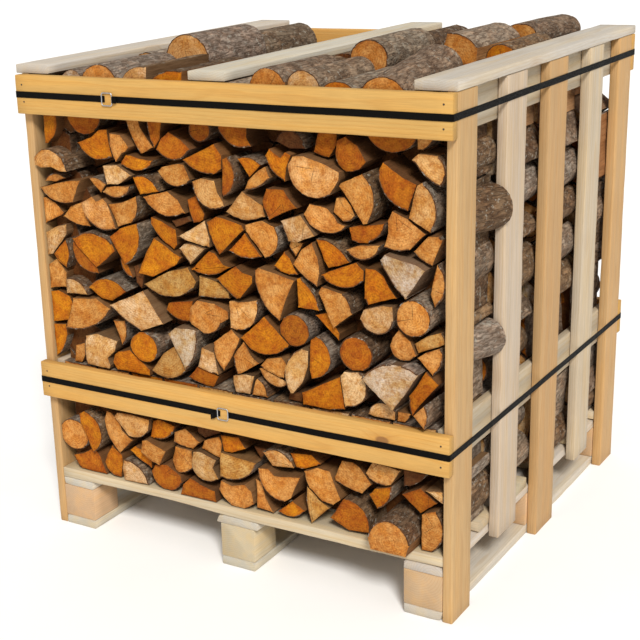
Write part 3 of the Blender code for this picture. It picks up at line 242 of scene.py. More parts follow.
    ("amber", 0.5, 0.28, (10.0, 73.2), (16.2, 66.7), (16.0, 67.6), (11.3, 71.6)),
    ("amber", -0.5, 0.20, (22.8, 70.9), (25.9, 66.3), (24.4, 68.6)),
    ("shade", -1.0, 0.02, (26.4, 65.4), (27.6, 64.2), (28.4, 67.0), (27.0, 68.8), (26.0, 68.4)),
    ("orange", 1.0, 0.20, (25.0, 69.8), (28.7, 79.3), (25.5, 78.4), (21.4, 75.4)),
    ("orange", 0.5, 0.02, (28.7, 68.0), (33.0, 67.6), (38.0, 70.3), (40.2, 72.8), (38.3, 73.2),
        (35.8, 74.6), (33.2, 75.9),
     (31.2, 72.9)),
    ("straw", 1.0, 0.03, (40.7, 74.8), (43.0, 72.0), (46.6, 75.3), (44.0, 75.8), (41.7, 75.7)),
    ("orange", 0.0, 0.10, (43.0, 70.3), (49.8, 70.2), (52.8, 71.7), (50.8, 71.8), (48.5, 74.3),
        (47.5, 74.5)),
    ("orange", 1.0, 0.03, (50.1, 69.0), (55.2, 65.2), (58.6, 69.2), (58.6, 70.4), (56.3, 71.0),
        (54.7, 72.0)),
    ("grain", 0.0, 0.03, (44.6, 64.5), (52.0, 64.9), (52.0, 66.0), (49.8, 67.6), (44.9, 68.6)),
    ("grain", 0.5, 0.18, (30.0, 65.4), (42.8, 66.2), (43.6, 67.6), (41.8, 70.3), (38.0, 69.4),
        (34.0, 67.9)),
    ("honey", 1.0, 0.15, (59.9, 72.0), (65.3, 62.0), (66.6, 66.0), (69.0, 70.9), (63.5, 72.1),
        (60.8, 72.7)),
    ("orange", 0.0, 0.13, (64.2, 73.4), (69.3, 72.3), (67.8, 75.0), (66.5, 76.2)),
    ("honey", 0.5, 0.04, (69.2, 74.3), (74.3, 70.7), (74.8, 73.0), (74.5, 76.0), (73.4, 79.0),
        (71.3, 77.6)),
    ("honey", -0.5, 0.04, (67.8, 77.8), (68.9, 76.3), (70.8, 78.9), (68.2, 78.9)),
    ("orange", 0.5, 0.22, (76.0, 72.8), (85.0, 72.8), (85.3, 74.5), (83.4, 76.1), (79.5, 74.6)),
    ("grey", 2.0, 0.07, (90.2, 77.8), (95.4, 70.9), (99.2, 76.6), (97.6, 77.4), (91.0, 78.7)),
    ("orange", 0.5, 0.04, (85.7, 69.4), (86.5, 68.2), (92.5, 70.0), (90.9, 71.8), (89.5, 74.0),
        (88.0, 75.0), (86.0, 75.0)),
    ("honey", 0.0, 0.03, (101.2, 69.2), (103.3, 70.7), (103.3, 78.4), (101.6, 77.6), (100.3, 71.6)),
    ("honey", 1.0, 0.12, (82.6, 65.6), (80.5, 69.2), (75.9, 69.9), (75.4, 69.0), (78.5, 62.2)),
    ("orange", 0.5, 0.12, (74.6, 65.3), (70.6, 71.2), (70.0, 71.0), (70.0, 65.3)),
    ("straw", 0.5, 0.40, (84.8, 64.5), (91.7, 65.0), (91.5, 67.7), (89.5, 67.6), (85.6, 66.2)),
    ("honey", 1.5, 0.50, (93.4, 66.4), (100.4, 66.6)),
    # The upper opening, from Z 76 to 88
    ("honey", 0.0, 0.08, (0.8, 82.2), (1.4, 77.0), (6.8, 79.6), (4.8, 81.5), (2.2, 82.6)),
    ("honey", -0.5, 0.07, (6.7, 78.9), (14.2, 77.2), (13.2, 80.0), (12.0, 82.0), (8.6, 81.0)),
    ("pale", 0.5, 0.16, (14.1, 79.8), (22.3, 77.6), (20.6, 82.6), (19.6, 83.9), (17.4, 83.0),
        (16.3, 84.0), (13.5, 82.6)),
    ("honey", 0.5, 0.25, (23.3, 78.0), (28.6, 85.0), (24.8, 83.3), (21.4, 82.6)),
    ("honey", 0.5, 0.23, (20.0, 85.7), (27.4, 87.6), (23.5, 87.0), (20.9, 86.6)),
    ("honey", 0.0, 0.12, (20.0, 87.3), (15.5, 88.3), (18.6, 85.6)),
    ("straw", 1.0, 0.05, (20.8, 91.5), (21.5, 87.9), (24.5, 88.1), (28.2, 90.0), (24.4, 92.0)),
    ("orange", 0.5, 0.20, (35.0, 87.2), (28.8, 89.5), (30.3, 86.2)),
    ("honey", 0.5, 0.20, (31.3, 85.3), (41.3, 82.9), (39.8, 85.2), (37.3, 86.8), (34.5, 86.2)),
    ("orange", 0.0, 0.06, (32.4, 79.4), (37.9, 74.4), (38.8, 75.5), (38.5, 78.5), (35.0, 80.0),
        (32.6, 80.5)),
    ("shade", -0.5, 0.02, (38.8, 79.5), (42.4, 80.9), (41.7, 81.4), (38.0, 80.4)),
    ("amber", -0.5, 0.06, (42.4, 85.3), (43.6, 81.0), (45.6, 81.3), (46.0, 82.6), (44.2, 86.2)),
    ("straw", 0.5, 0.04, (39.9, 77.4), (47.6, 76.2), (47.8, 77.7), (46.8, 81.6), (44.2, 79.6)),
    ("orange", 0.5, 0.06, (47.9, 81.3), (50.5, 74.9), (53.0, 77.3), (56.5, 80.5), (56.2, 81.1),
        (52.0, 82.2), (50.0, 82.5)),
    ("orange", 0.5, 0.10, (53.4, 75.7), (60.8, 75.2), (57.2, 79.2)),
    ("honey", 0.5, 0.27, (62.2, 75.3), (64.4, 81.5), (61.6, 82.5), (57.7, 81.3), (57.8, 80.4)),
    ("pale", 1.0, 0.32, (45.0, 89.8), (52.4, 85.5), (50.7, 88.0), (50.1, 90.4), (47.0, 90.6)),
    ("straw", 1.0, 0.03, (66.9, 83.2), (68.4, 79.6), (70.2, 79.7), (74.0, 81.2), (71.2, 84.8),
        (69.0, 84.0)),
    ("amber", 0.5, 0.05, (62.1, 87.0), (63.5, 83.8), (66.5, 85.2), (69.9, 86.4), (67.8, 88.4),
        (66.9, 89.6), (63.1, 89.6)),
    ("pale", 0.0, 0.12, (52.6, 84.0), (61.7, 83.9), (61.4, 85.8), (56.6, 88.3)),
    ("honey", 0.5, 0.25, (72.0, 85.2), (81.4, 83.6), (79.5, 84.0), (77.8, 86.5), (73.4, 87.2)),
    ("honey", 0.5, 0.30, (78.9, 86.4), (83.2, 85.9), (82.5, 87.7), (81.2, 89.2), (79.7, 89.0)),
    ("orange", 0.0, 0.15, (81.6, 76.0), (74.5, 80.0), (76.4, 75.8), (77.2, 74.8), (79.5, 75.4)),
    ("honey", 0.5, 0.30, (81.8, 78.7), (88.9, 80.3), (85.0, 79.8)),
    ("amber", 0.0, 0.22, (82.8, 80.9), (89.8, 84.7), (86.0, 83.6), (82.3, 83.6)),
    ("honey", 0.5, 0.10, (90.4, 80.4), (95.4, 80.5), (98.6, 83.6), (95.0, 86.0), (92.0, 87.2),
        (91.1, 85.5), (91.3, 83.0)),
    ("honey", 0.0, 0.08, (96.6, 79.8), (100.1, 77.8), (102.5, 83.3), (99.5, 83.0)),
    # The upper opening, from Z 88 up to the top rail
    ("honey", 0.0, 0.18, (8.6, 88.0), (2.5, 86.9), (5.6, 87.2)),
    ("honey", 1.0, 0.15, (1.8, 85.4), (10.8, 82.9), (13.5, 87.8), (9.5, 87.2)),
    ("pale", 2.0, 0.38, (10.4, 90.2), (0.9, 91.3), (3.2, 90.5), (6.2, 90.9), (8.8, 90.1)),
    ("orange", 0.5, 0.20, (13.8, 96.3), (22.5, 94.0), (22.0, 97.0), (21.7, 99.5), (19.9, 99.4),
        (17.5, 97.7)),
    ("honey", 1.0, 0.10, (23.3, 98.8), (24.4, 93.3), (26.0, 95.2), (28.0, 96.0), (25.8, 98.6)),
    ("orange", 0.5, 0.20, (25.8, 92.5), (34.2, 93.8), (30.4, 93.6), (26.6, 94.4)),
    ("honey", 0.5, 0.27, (35.7, 91.5), (43.4, 90.2), (42.0, 93.1), (41.0, 93.2), (36.7, 92.3)),
    ("orange", 1.0, 0.11, (42.8, 94.5), (50.0, 92.3), (51.9, 93.6), (52.0, 95.8), (50.3, 97.9)),
    ("amber", 1.0, 0.28, (52.3, 87.5), (53.7, 95.5), (52.7, 95.0), (52.5, 90.5)),
    ("orange", 0.0, 0.13, (61.2, 94.5), (56.2, 95.5), (58.8, 92.2)),
    ("honey", 0.5, 0.09, (57.8, 89.3), (63.5, 92.2), (62.7, 94.0), (60.8, 93.2), (58.8, 91.4)),
    ("orange", 0.5, 0.12, (63.2, 96.6), (67.4, 92.0), (67.6, 94.5), (68.6, 97.0), (67.8, 97.3),
        (66.5, 96.0), (64.0, 97.7)),
    ("pale", 2.0, 0.40, (69.4, 95.4), (80.4, 92.5), (80.6, 94.6), (77.8, 95.8), (72.8, 97.2), (70.6, 97.0)),
    ("honey", 1.0, 0.22, (86.1, 84.6), (85.6, 94.4), (80.6, 92.0)),
    ("amber", 0.5, 0.20, (89.2, 95.4), (95.2, 88.2), (96.8, 93.0), (94.0, 94.2), (90.0, 96.7)),
    ("pale", 1.0, 0.20, (100.3, 84.6), (98.6, 93.5), (97.6, 92.9), (96.0, 86.8)),
    ("pale", 0.5, 0.08, (96.6, 98.0), (103.3, 93.0), (103.3, 98.8), (97.6, 99.0)),
    ("amber", 0.5, 0.32, (79.7, 98.0), (84.4, 95.6), (85.7, 97.0), (84.0, 100.0), (81.5, 101.4),
        (80.0, 100.6)),
    ("orange", 0.0, 0.10, (1.4, 101.5), (1.4, 95.8), (4.0, 96.0), (6.0, 97.8), (6.9, 100.0), (6.9, 102.5)),
    ("amber", -1.0, 0.42, (9.8, 102.2), (19.0, 102.2), (19.0, 106.5), (9.8, 106.5)),
    ("honey", -0.5, 0.05, (26.9, 101.8), (30.3, 95.0), (33.0, 96.5), (30.0, 100.5), (29.5, 102.5)),
    ("amber", -0.5, 0.07, (32.6, 102.8), (34.0, 96.8), (35.2, 98.4), (36.0, 103.0)),
    ("amber", 0.0, 0.26, (35.3, 96.2), (43.3, 96.6), (41.5, 98.3), (38.4, 100.0), (36.5, 98.5)),
    ("amber", -1.0, 0.48, (43.2, 101.0), (48.4, 101.0)),
    ("amber", -0.5, 0.22, (51.0, 102.0), (58.4, 98.4), (57.5, 100.0), (57.8, 105.0), (51.0, 105.0)),
    ("shade", -0.5, 0.40, (71.5, 98.8), (65.2, 99.8), (68.4, 98.6)),
    ("amber", -0.5, 0.05, (74.2, 98.2), (77.2, 97.4), (78.8, 100.0), (78.8, 104.0), (75.6, 104.0)),
    ("amber", -0.5, 0.30, (86.0, 102.4), (96.6, 102.4), (96.6, 106.0), (86.0, 106.0)),
)

# Ends behind the rails and along the top of the front row, in the same centimetres
HIDDEN_FRONT_LOGS = (
    ("shade", -0.5, 0.05, (3.5, 103.3), (9.3, 103.3), (9.3, 110.2), (3.5, 110.2)),
    ("grey", 0.0, 0.30, (15.4, 110.6), (10.0, 110.6), (10.0, 107.0), (15.2, 107.0)),
    ("honey", 0.0, 0.38, (25.4, 109.8), (15.2, 109.8), (17.0, 107.0), (24.6, 107.0)),
    ("straw", 0.0, 0.20, (33.0, 113.4), (25.8, 108.6), (26.2, 106.2), (33.0, 103.8)),
    ("orange", 0.0, 0.12, (42.4, 112.8), (34.2, 110.4), (34.2, 104.0), (42.4, 103.4)),
    ("pale", 0.0, 0.05, (43.4, 104.0), (50.4, 104.6), (50.4, 110.8), (43.4, 110.8)),
    ("honey", 0.0, 0.10, (58.4, 110.0), (51.4, 110.4), (51.4, 105.6), (58.4, 105.6)),
    ("honey", 0.0, 0.50, (67.8, 110.0), (59.4, 110.0), (60.4, 104.6), (67.2, 104.6)),
    ("straw", 0.0, 0.50, (75.6, 110.4), (68.4, 110.4), (69.0, 103.4), (73.6, 103.4)),
    ("orange", 0.0, 0.20, (83.2, 110.8), (76.6, 110.8), (79.4, 102.6), (83.2, 102.6)),
    ("honey", 0.0, 0.05, (97.0, 100.4), (100.8, 100.4), (100.8, 110.2), (96.6, 110.2)),
)

# The band of logs behind the middle rail: how many, from which height and side to which, how far set back
RAIL_BAND_LOGS = 10
RAIL_BAND = (34.2, 42.8)
RAIL_BAND_SPAN = (3.6, 100.8)
RAIL_BAND_SUNK = 0.005

# Loose logs on top, in metres and degrees: middle of the log's underside (x, y, z), width, height, turn
# about Z, rise towards its rear end, shape, colour
TOP_LOGS = (
    (-0.380, -0.124, 1.092, 0.092, 0.048, 1, 0, "wedge", "pale"),
    (-0.262, -0.124, 1.092, 0.116, 0.088, -1, 0, "half", "pale"),
    (-0.352, 0.135, 1.092, 0.070, 0.052, 1, 0, "wedge", "honey"),
    (-0.258, 0.135, 1.092, 0.104, 0.066, -1, 0, "half", "grain"),
    (0.206, -0.124, 1.092, 0.094, 0.086, 1, 0, "round", "honey"),
    (0.378, -0.384, 1.099, 0.112, 0.058, -1, 8, "half", "honey"),
    (0.202, 0.135, 1.092, 0.060, 0.084, 1, 0, "wedge", "honey"),
    (0.300, 0.135, 1.092, 0.098, 0.090, -1, 0, "wedge", "honey"),
    (0.398, 0.135, 1.092, 0.076, 0.052, 1, 0, "half", "orange"),
    (0.352, 0.390, 1.092, 0.096, 0.072, -4, 0, "round", "honey"),
)

# Round logs that lean out between the front right post and slat: height of the middle, radius, how far
# the rear end stands out past the crate's side
LEANING_LOGS = (
    (0.848, 0.0515, 0.0205),
    (0.566, 0.0435, 0.0125),
)
LEAN = 0.33
LEANING_LOG_LONG = 0.140
# From the front post's outer edge to the slat that the leaning logs end at
FRONT_GAP = 0.243
LEANING_LOG_END = -HALF_DEPTH + RAIL_THICK + 0.0004 + FRONT_GAP - 0.002

# Shorter logs that close the gaps between the front row's ends, further in
INNER_DEPTH = 0.085
LEFT_CORNER = -0.41
LEFT_CORNER_NEARER = 0.058
INNER_SIDE = STACK_SIDE - 0.012


def gap(p, q):
    return math.hypot(p[0] - q[0], p[1] - q[1])


def cut(outline, point, normal, edge=SPLIT):
    """The part of a convex outline behind the line through point; a corner says what the edge after it is."""
    kept = []
    for here, after in zip(outline, outline[1:] + outline[:1]):
        a = (here[0] - point[0]) * normal[0] + (here[1] - point[1]) * normal[1]
        b = (after[0] - point[0]) * normal[0] + (after[1] - point[1]) * normal[1]
        if a <= 0:
            kept.append((here[0], here[1], edge) if a == 0 and b > 0 else here)
        if (a < 0 < b) or (b < 0 < a):
            t = a / (a - b)
            kept.append(
                (
                    here[0] + t * (after[0] - here[0]),
                    here[1] + t * (after[1] - here[1]),
                    edge if b > 0 else here[2],
                )
            )
    return kept


def middle_of(outline):
    return (sum(p[0] for p in outline) / len(outline), sum(p[1] for p in outline) / len(outline))


def all_bark(outline):
    return [(x, z, BARK) for x, z, *_ in outline]


def beyond(middle, radius, normal):
    return (middle[0] + radius * normal[0], middle[1] + radius * normal[1])


def area_of(outline):
    return sum(p[0] * q[1] - q[0] * p[1] for p, q in zip(outline, outline[1:] + outline[:1])) / 2


def separated(outlines):
    """The outlines with every overlapping pair cut back along the line where they overlap least."""
    outlines = [list(outline) for outline in outlines]
    for i in range(len(outlines)):
        for j in range(i + 1, len(outlines)):
            first, second = outlines[i], outlines[j]
            if gap(middle_of(first), middle_of(second)) > NEIGHBOUR_REACH:
                continue
            least = None
            for shape, sign in ((first, 1), (second, -1)):
                for p, q in zip(shape, shape[1:] + shape[:1]):
                    length = gap(p, q)
                    if length < 1e-6:
                        continue
                    normal = ((q[1] - p[1]) / length * sign, (p[0] - q[0]) / length * sign)
                    far = max(point[0] * normal[0] + point[1] * normal[1] for point in first)
                    near = min(point[0] * normal[0] + point[1] * normal[1] for point in second)
                    if least is None or far - near < least[0]:
                        least = (far - near, normal, (far + near) / 2)
            if least[0] <= -LOG_SPACING:
                continue
            normal, middle = least[1], least[2]
            back = middle - LOG_SPACING / 2
            fore = middle + LOG_SPACING / 2
            outlines[i] = cut(first, (normal[0] * back, normal[1] * back), normal)
            away = (-normal[0], -normal[1])
            outlines[j] = cut(second, (normal[0] * fore, normal[1] * fore), away)
    return outlines


def bark_arc(start, end, bulge, steps):
    """Points strictly between start and end on the arc that stands out to the right by bulge chords."""
    if bulge < LEAST_BULGE:
        return []
    chord = gap(start, end)
    angle = 4 * math.atan(2 * bulge)
    radius = chord / (2 * math.sin(angle / 2))
    ahead = ((end[0] - start[0]) / chord, (end[1] - start[1]) / chord)
    right = (ahead[1], -ahead[0])
    drop = radius * math.cos(angle / 2)
    points = []
    for step in range(1, steps):
        turn = angle * (step / steps - 0.5)
        along = chord / 2 + radius * math.sin(turn)
        out = radius * math.cos(turn) - drop
        points.append(
            (start[0] + ahead[0] * along + right[0] * out, start[1] + ahead[1] * along + right[1] * out)
        )
    return points


def heart_of_arc(start, end, bulge):
    """The middle of the trunk whose bark is this arc."""
    chord = gap(start, end)
    radius = chord * (0.25 + bulge * bulge) / (2 * bulge)
    ahead = ((end[0] - start[0]) / chord, (end[1] - start[1]) / chord)
    inward = radius - bulge * chord
    return (
        (start[0] + end[0]) / 2 - ahead[1] * inward,
        (start[1] + end[1]) / 2 + ahead[0] * inward,
    )


def grown(outline, distance):
    """The outline with every edge moved outwards by this distance, and sharp corners not much further."""
    points = []
    for before, here, after in zip(outline[-1:] + outline[:-1], outline, outline[1:] + outline[:1]):
        sides = []
        for p, q in ((before, here), (here, after)):
            length = gap(p, q)
            sides.append(((q[1] - p[1]) / length, (p[0] - q[0]) / length))
        (ax, az), (bx, bz) = sides
        reach = distance / max(1 + ax * bx + az * bz, 0.8)
        points.append((here[0] + (ax + bx) * reach, here[1] + (az + bz) * reach, here[2]))
    return points


def log_outline(bulge, corners):
    """(outline, heart) of one front log, in metres: its first edge is bark, or all of it on a round one."""
    corners = [((x - FRONT_DATUM) * CM, z * CM) for x, z in corners]
    first, second = corners[0], corners[1]
    steps = 3 + int(24 * bulge)
    edge = BARK if bulge >= LEAST_BULGE else SPLIT
    outline = [(*p, edge) for p in [first, *bark_arc(first, second, bulge, steps)]]
    if len(corners) == 2:
        outline += [(*p, BARK) for p in [second, *bark_arc(second, first, bulge, steps)]]
        return grown(outline, END_GROWTH), middle_of(outline)
    outline += [(*p, SPLIT) for p in corners[1:]]
    return grown(outline, END_GROWTH), heart_of_arc(first, second, max(bulge, 0.10))


def side_reach(outline):
    """How far out this log may reach: less where it lies behind an inner side rail."""
    low = min(p[1] for p in outline)
    high = max(p[1] for p in outline)
    for top in (FRAME_TOP, MIDDLE_RAIL_TOP):
        if low < top + 0.002 and high > top - RAIL_TALL - 0.002:
            return STACK_SIDE_AT_RAILS
    return STACK_SIDE


def kept_clear(outline):
    """The outline cut back from the uprights, the inner side rails and the deck."""
    side = side_reach(outline)
    outline = cut(outline, (side, 0), (1, 0))
    outline = cut(outline, (-side, 0), (-1, 0))
    return cut(outline, (0, STACK_FLOOR), (0, -1))


def round_at_side(outline):
    """The outline with its right-hand side turned into a round bark side where that faces the open frame."""
    side = side_reach(outline)
    if max(p[0] for p in outline) < side - SIDE_TOUCH:
        return outline
    high = max(p[1] for p in outline)
    low = min(p[1] for p in outline)
    radius = max(LEAST_SIDE_RADIUS, SIDE_ROUNDNESS * (high - low))
    middle = (side - radius, (high + low) / 2)
    for step in range(-8, 9):
        angle = math.radians(9 * step)
        normal = (math.cos(angle), math.sin(angle))
        outline = cut(outline, beyond(middle, radius, normal), normal, BARK)
    return outline


def front_bank():
    """(outline, heart, how far its end stands out, colour) of each log of the front row."""
    found = []
    for tone, out, bulge, *corners in FRONT_LOGS + HIDDEN_FRONT_LOGS:
        outline, heart = log_outline(bulge, corners)
        found.append((round_at_side(outline), heart, out * CM, tone))
    left, right = RAIL_BAND_SPAN
    wide = (right - left) / RAIL_BAND_LOGS
    low, high = RAIL_BAND
    for number in range(RAIL_BAND_LOGS):
        x = left + number * wide
        corners = ((x, low), (x + wide, low), (x + wide, high), (x, high))
        outline, heart = log_outline(0.0, corners)
        found.append((outline, heart, -RAIL_BAND_SUNK, HIDDEN_TONES[number % len(HIDDEN_TONES)]))
    outlines = separated([kept_clear(entry[0]) for entry in found])
    shown = len(outlines) - RAIL_BAND_LOGS
    outlines[shown:] = [all_bark(outline) for outline in outlines[shown:]]
    return [(outline, *entry[1:]) for outline, entry in zip(outlines, found) if area_of(outline) > LEAST_AREA]


def stack_ceiling(x, row):
    if row == LAST_ROW and x > LOW_CORNER_X:
        return LOW_CORNER_TOP
    return STACK_CEILING


def shifted_sites(draw):
    sites = []
    wide = 2 * STACK_SIDE / SPLIT_COLUMNS
    for level in range(SPLIT_LEVELS):
        for column in range(SPLIT_COLUMNS):
            shift_x = draw.uniform(-SITE_SHIFT, SITE_SHIFT)
            shift_z = draw.uniform(-SITE_SHIFT, SITE_SHIFT)
            x = -STACK_SIDE + wide * (column + 0.25 + 0.5 * (level % 2) + shift_x)
            z = STACK_FLOOR + SPLIT_TALL * (level + 0.5 + shift_z)
            sites.append((x, z))
    return sites


def cell_round(x, z, sites, ceiling):
    """The part of the row's rectangle that is nearer to (x, z) than to any other site."""
    outline = [
        (-STACK_SIDE, STACK_FLOOR, SPLIT),
        (STACK_SIDE, STACK_FLOOR, SPLIT),
        (STACK_SIDE, ceiling, SPLIT),
        (-STACK_SIDE, ceiling, SPLIT),
    ]
    for other in sites:
        if other != (x, z) and math.dist((x, z), other) < SITE_REACH:
            away = (other[0] - x, other[1] - z)
            length = math.hypot(*away)
            unit = (away[0] / length, away[1] / length)
            reach = length / 2 - LOG_SPACING / 2
            outline = cut(outline, (x + unit[0] * reach, z + unit[1] * reach), unit)
    return outline


def split_bank(row, whole_cells=False):
    """What front_bank gives, for a packed row: split logs that fill its rectangle, from the row's own seed."""
    draw = random.Random(SEEDS[row])
    sites = shifted_sites(draw)
    bank = []
    for x, z in sites:
        ceiling = stack_ceiling(x, row)
        if z > ceiling - SITE_HEADROOM:
            continue
        outline = cell_round(x, z, sites, ceiling)
        kind = draw.choice(SPLIT_KINDS)
        if z > ceiling - SPLIT_TALL:
            kind = "crown"
        elif max(abs(p[0]) for p in outline) > STACK_SIDE - SIDE_NEAR:
            kind = "side" if draw.random() < SIDE_BARK_SHARE else "slant"
        whole = outline
        outline, heart = rounded_by_bark(outline, kind, draw)
        if kind == "side" or kind == "slant" and len(bank) % 2:
            outline = all_bark(outline)
        if whole_cells or row < LAST_ROW and kind in SPLIT_KINDS:
            outline = whole
        outline = kept_clear(outline)
        out = draw.uniform(*REAR_END_SHIFT)
        if len(outline) > 2 and area_of(outline) > LEAST_AREA:
            bank.append((outline, heart, out, HIDDEN_TONES[len(bank) * 5 % len(HIDDEN_TONES)]))
    return bank


def rounded_by_bark(outline, kind, draw):
    """The cell trimmed to the trunk that its log was split from.

    A crown lies on top of the stack with its bark upwards, a side log has its bark to the crate's side,
    and a slanted one turns a split face there.
    """
    middle = middle_of(outline)
    side = math.copysign(side_reach(outline), middle[0])
    if kind == "slant":
        angle = draw.uniform(-SLANT_TURN, SLANT_TURN)
        normal = (math.copysign(math.cos(angle), side), math.sin(angle))
        return cut(outline, (side - math.copysign(SLANT_BACK, side), middle[1]), normal), middle
    if kind == "side":
        radius = draw.uniform(*SIDE_RADIUS)
        heart = (side - math.copysign(radius, side), middle[1] + draw.uniform(-SIDE_SHIFT, SIDE_SHIFT))
    elif kind == "round":
        heart = middle
        radius = ROUND_FILL * max(gap(heart, p) for p in outline)
    elif kind == "crown":
        heart = (middle[0], min(p[1] for p in outline))
        radius = max(p[1] for p in outline) - heart[1] - draw.uniform(0.0, CROWN_SINK)
    else:
        pick = draw.randrange(len(outline))
        p, q = outline[pick], outline[(pick + 1) % len(outline)]
        heart = p[:2] if kind == "quarter" else ((p[0] + q[0]) / 2, (p[1] + q[1]) / 2)
        radius = SPLIT_FILL * max(gap(heart, p) for p in outline)
    for step in range(TRUNK_SIDES):
        angle = 2 * math.pi * step / TRUNK_SIDES
        normal = (math.cos(angle), math.sin(angle))
        outline = cut(outline, beyond(heart, radius, normal), normal, BARK)
    return outline, heart


class Shape:
    """A mesh under construction, with a surface place and a tone at each face corner."""

    def __init__(self):
        self.points = []
        self.faces = []
        self.skins = []
        self.places = []
        self.tones = []

    def point(self, x, y, z):
        self.points.append((x, y, z))
        return len(self.points) - 1

    def face(self, corners, skin, places, tones):
        self.faces.append(corners)
        self.skins.append(skin)
        self.places.extend(places)
        self.tones.extend(tones)

    def made(self, name, skins, sharp=38.0):
        mesh = bpy.data.meshes.new(name)
        mesh.from_pydata(self.points, [], self.faces)
        for skin in skins:
            mesh.materials.append(skin)
        mesh.polygons.foreach_set("material_index", self.skins)
        mesh.polygons.foreach_set("use_smooth", [True] * len(self.faces))
        place = mesh.attributes.new("place", "FLOAT_VECTOR", "CORNER")
        place.data.foreach_set("vector", [value for triple in self.places for value in triple])
        tone = mesh.attributes.new("tone", "FLOAT_COLOR", "CORNER")
        tone.data.foreach_set("color", [value for colour in self.tones for value in colour])
        mesh.set_sharp_from_angle(angle=math.radians(sharp))
        mesh.update()
        obj = bpy.data.objects.new(name, mesh)
        bpy.context.scene.collection.objects.link(obj)
        return obj


def stepped(outline, spacing):
    """The outline with a point at least every spacing, each with the kind of edge after it."""
    points = []
    for here, after in zip(outline, outline[1:] + outline[:1]):
        length = gap(here, after)
        if length < 0.0006:
            continue
        steps = max(1, round(length / spacing))
        for step in range(steps):
            t = step / steps
            points.append((here[0] + t * (after[0] - here[0]), here[1] + t * (after[1] - here[1]), here[2]))
    return points


def varied(colour, draw, spread):
    """The colour a little lighter or darker, with hardly any change of hue."""
    level = draw.uniform(1 - spread, 1 + spread * 0.7)
    return tuple(value * level * draw.uniform(0.985, 1.015) for value in colour)


# One log: its materials, the spread of its colours, the bark's edge, the saw cut and the darker rim
END_GRAIN, SPLIT_FACE, BARK_FACE = 0, 1, 2
ROUND_SIDES = 28
TONE_SPREAD = 0.12
BARK_SPREAD = 0.18
BARK_THICK = (0.0012, 0.0030)
# Roughness of the sides: how deep they are sunk, the height of the grain and of the lumps, the lumps' bias
BARK_ROUGH = (0.0013, 0.0012, 0.0016, 0.4)
SPLIT_ROUGH = (0.0012, 0.0010, 0.0020, 0.3)
DEEPEST_SINK = 0.12
SAW_SAG = 0.04
SAW_TURN = 0.5
SAW_WAVE = 0.0008
LIP_SHARE = 0.25
RIM_SHARE = 0.30
RIM_WIDE = 0.010
SPLIT_LIP = 0.0009
END_TILT = 0.032
END_EASE = 0.0007
SIDE_DIM = (0.55, 0.95)
OWN_SHARE = 0.4


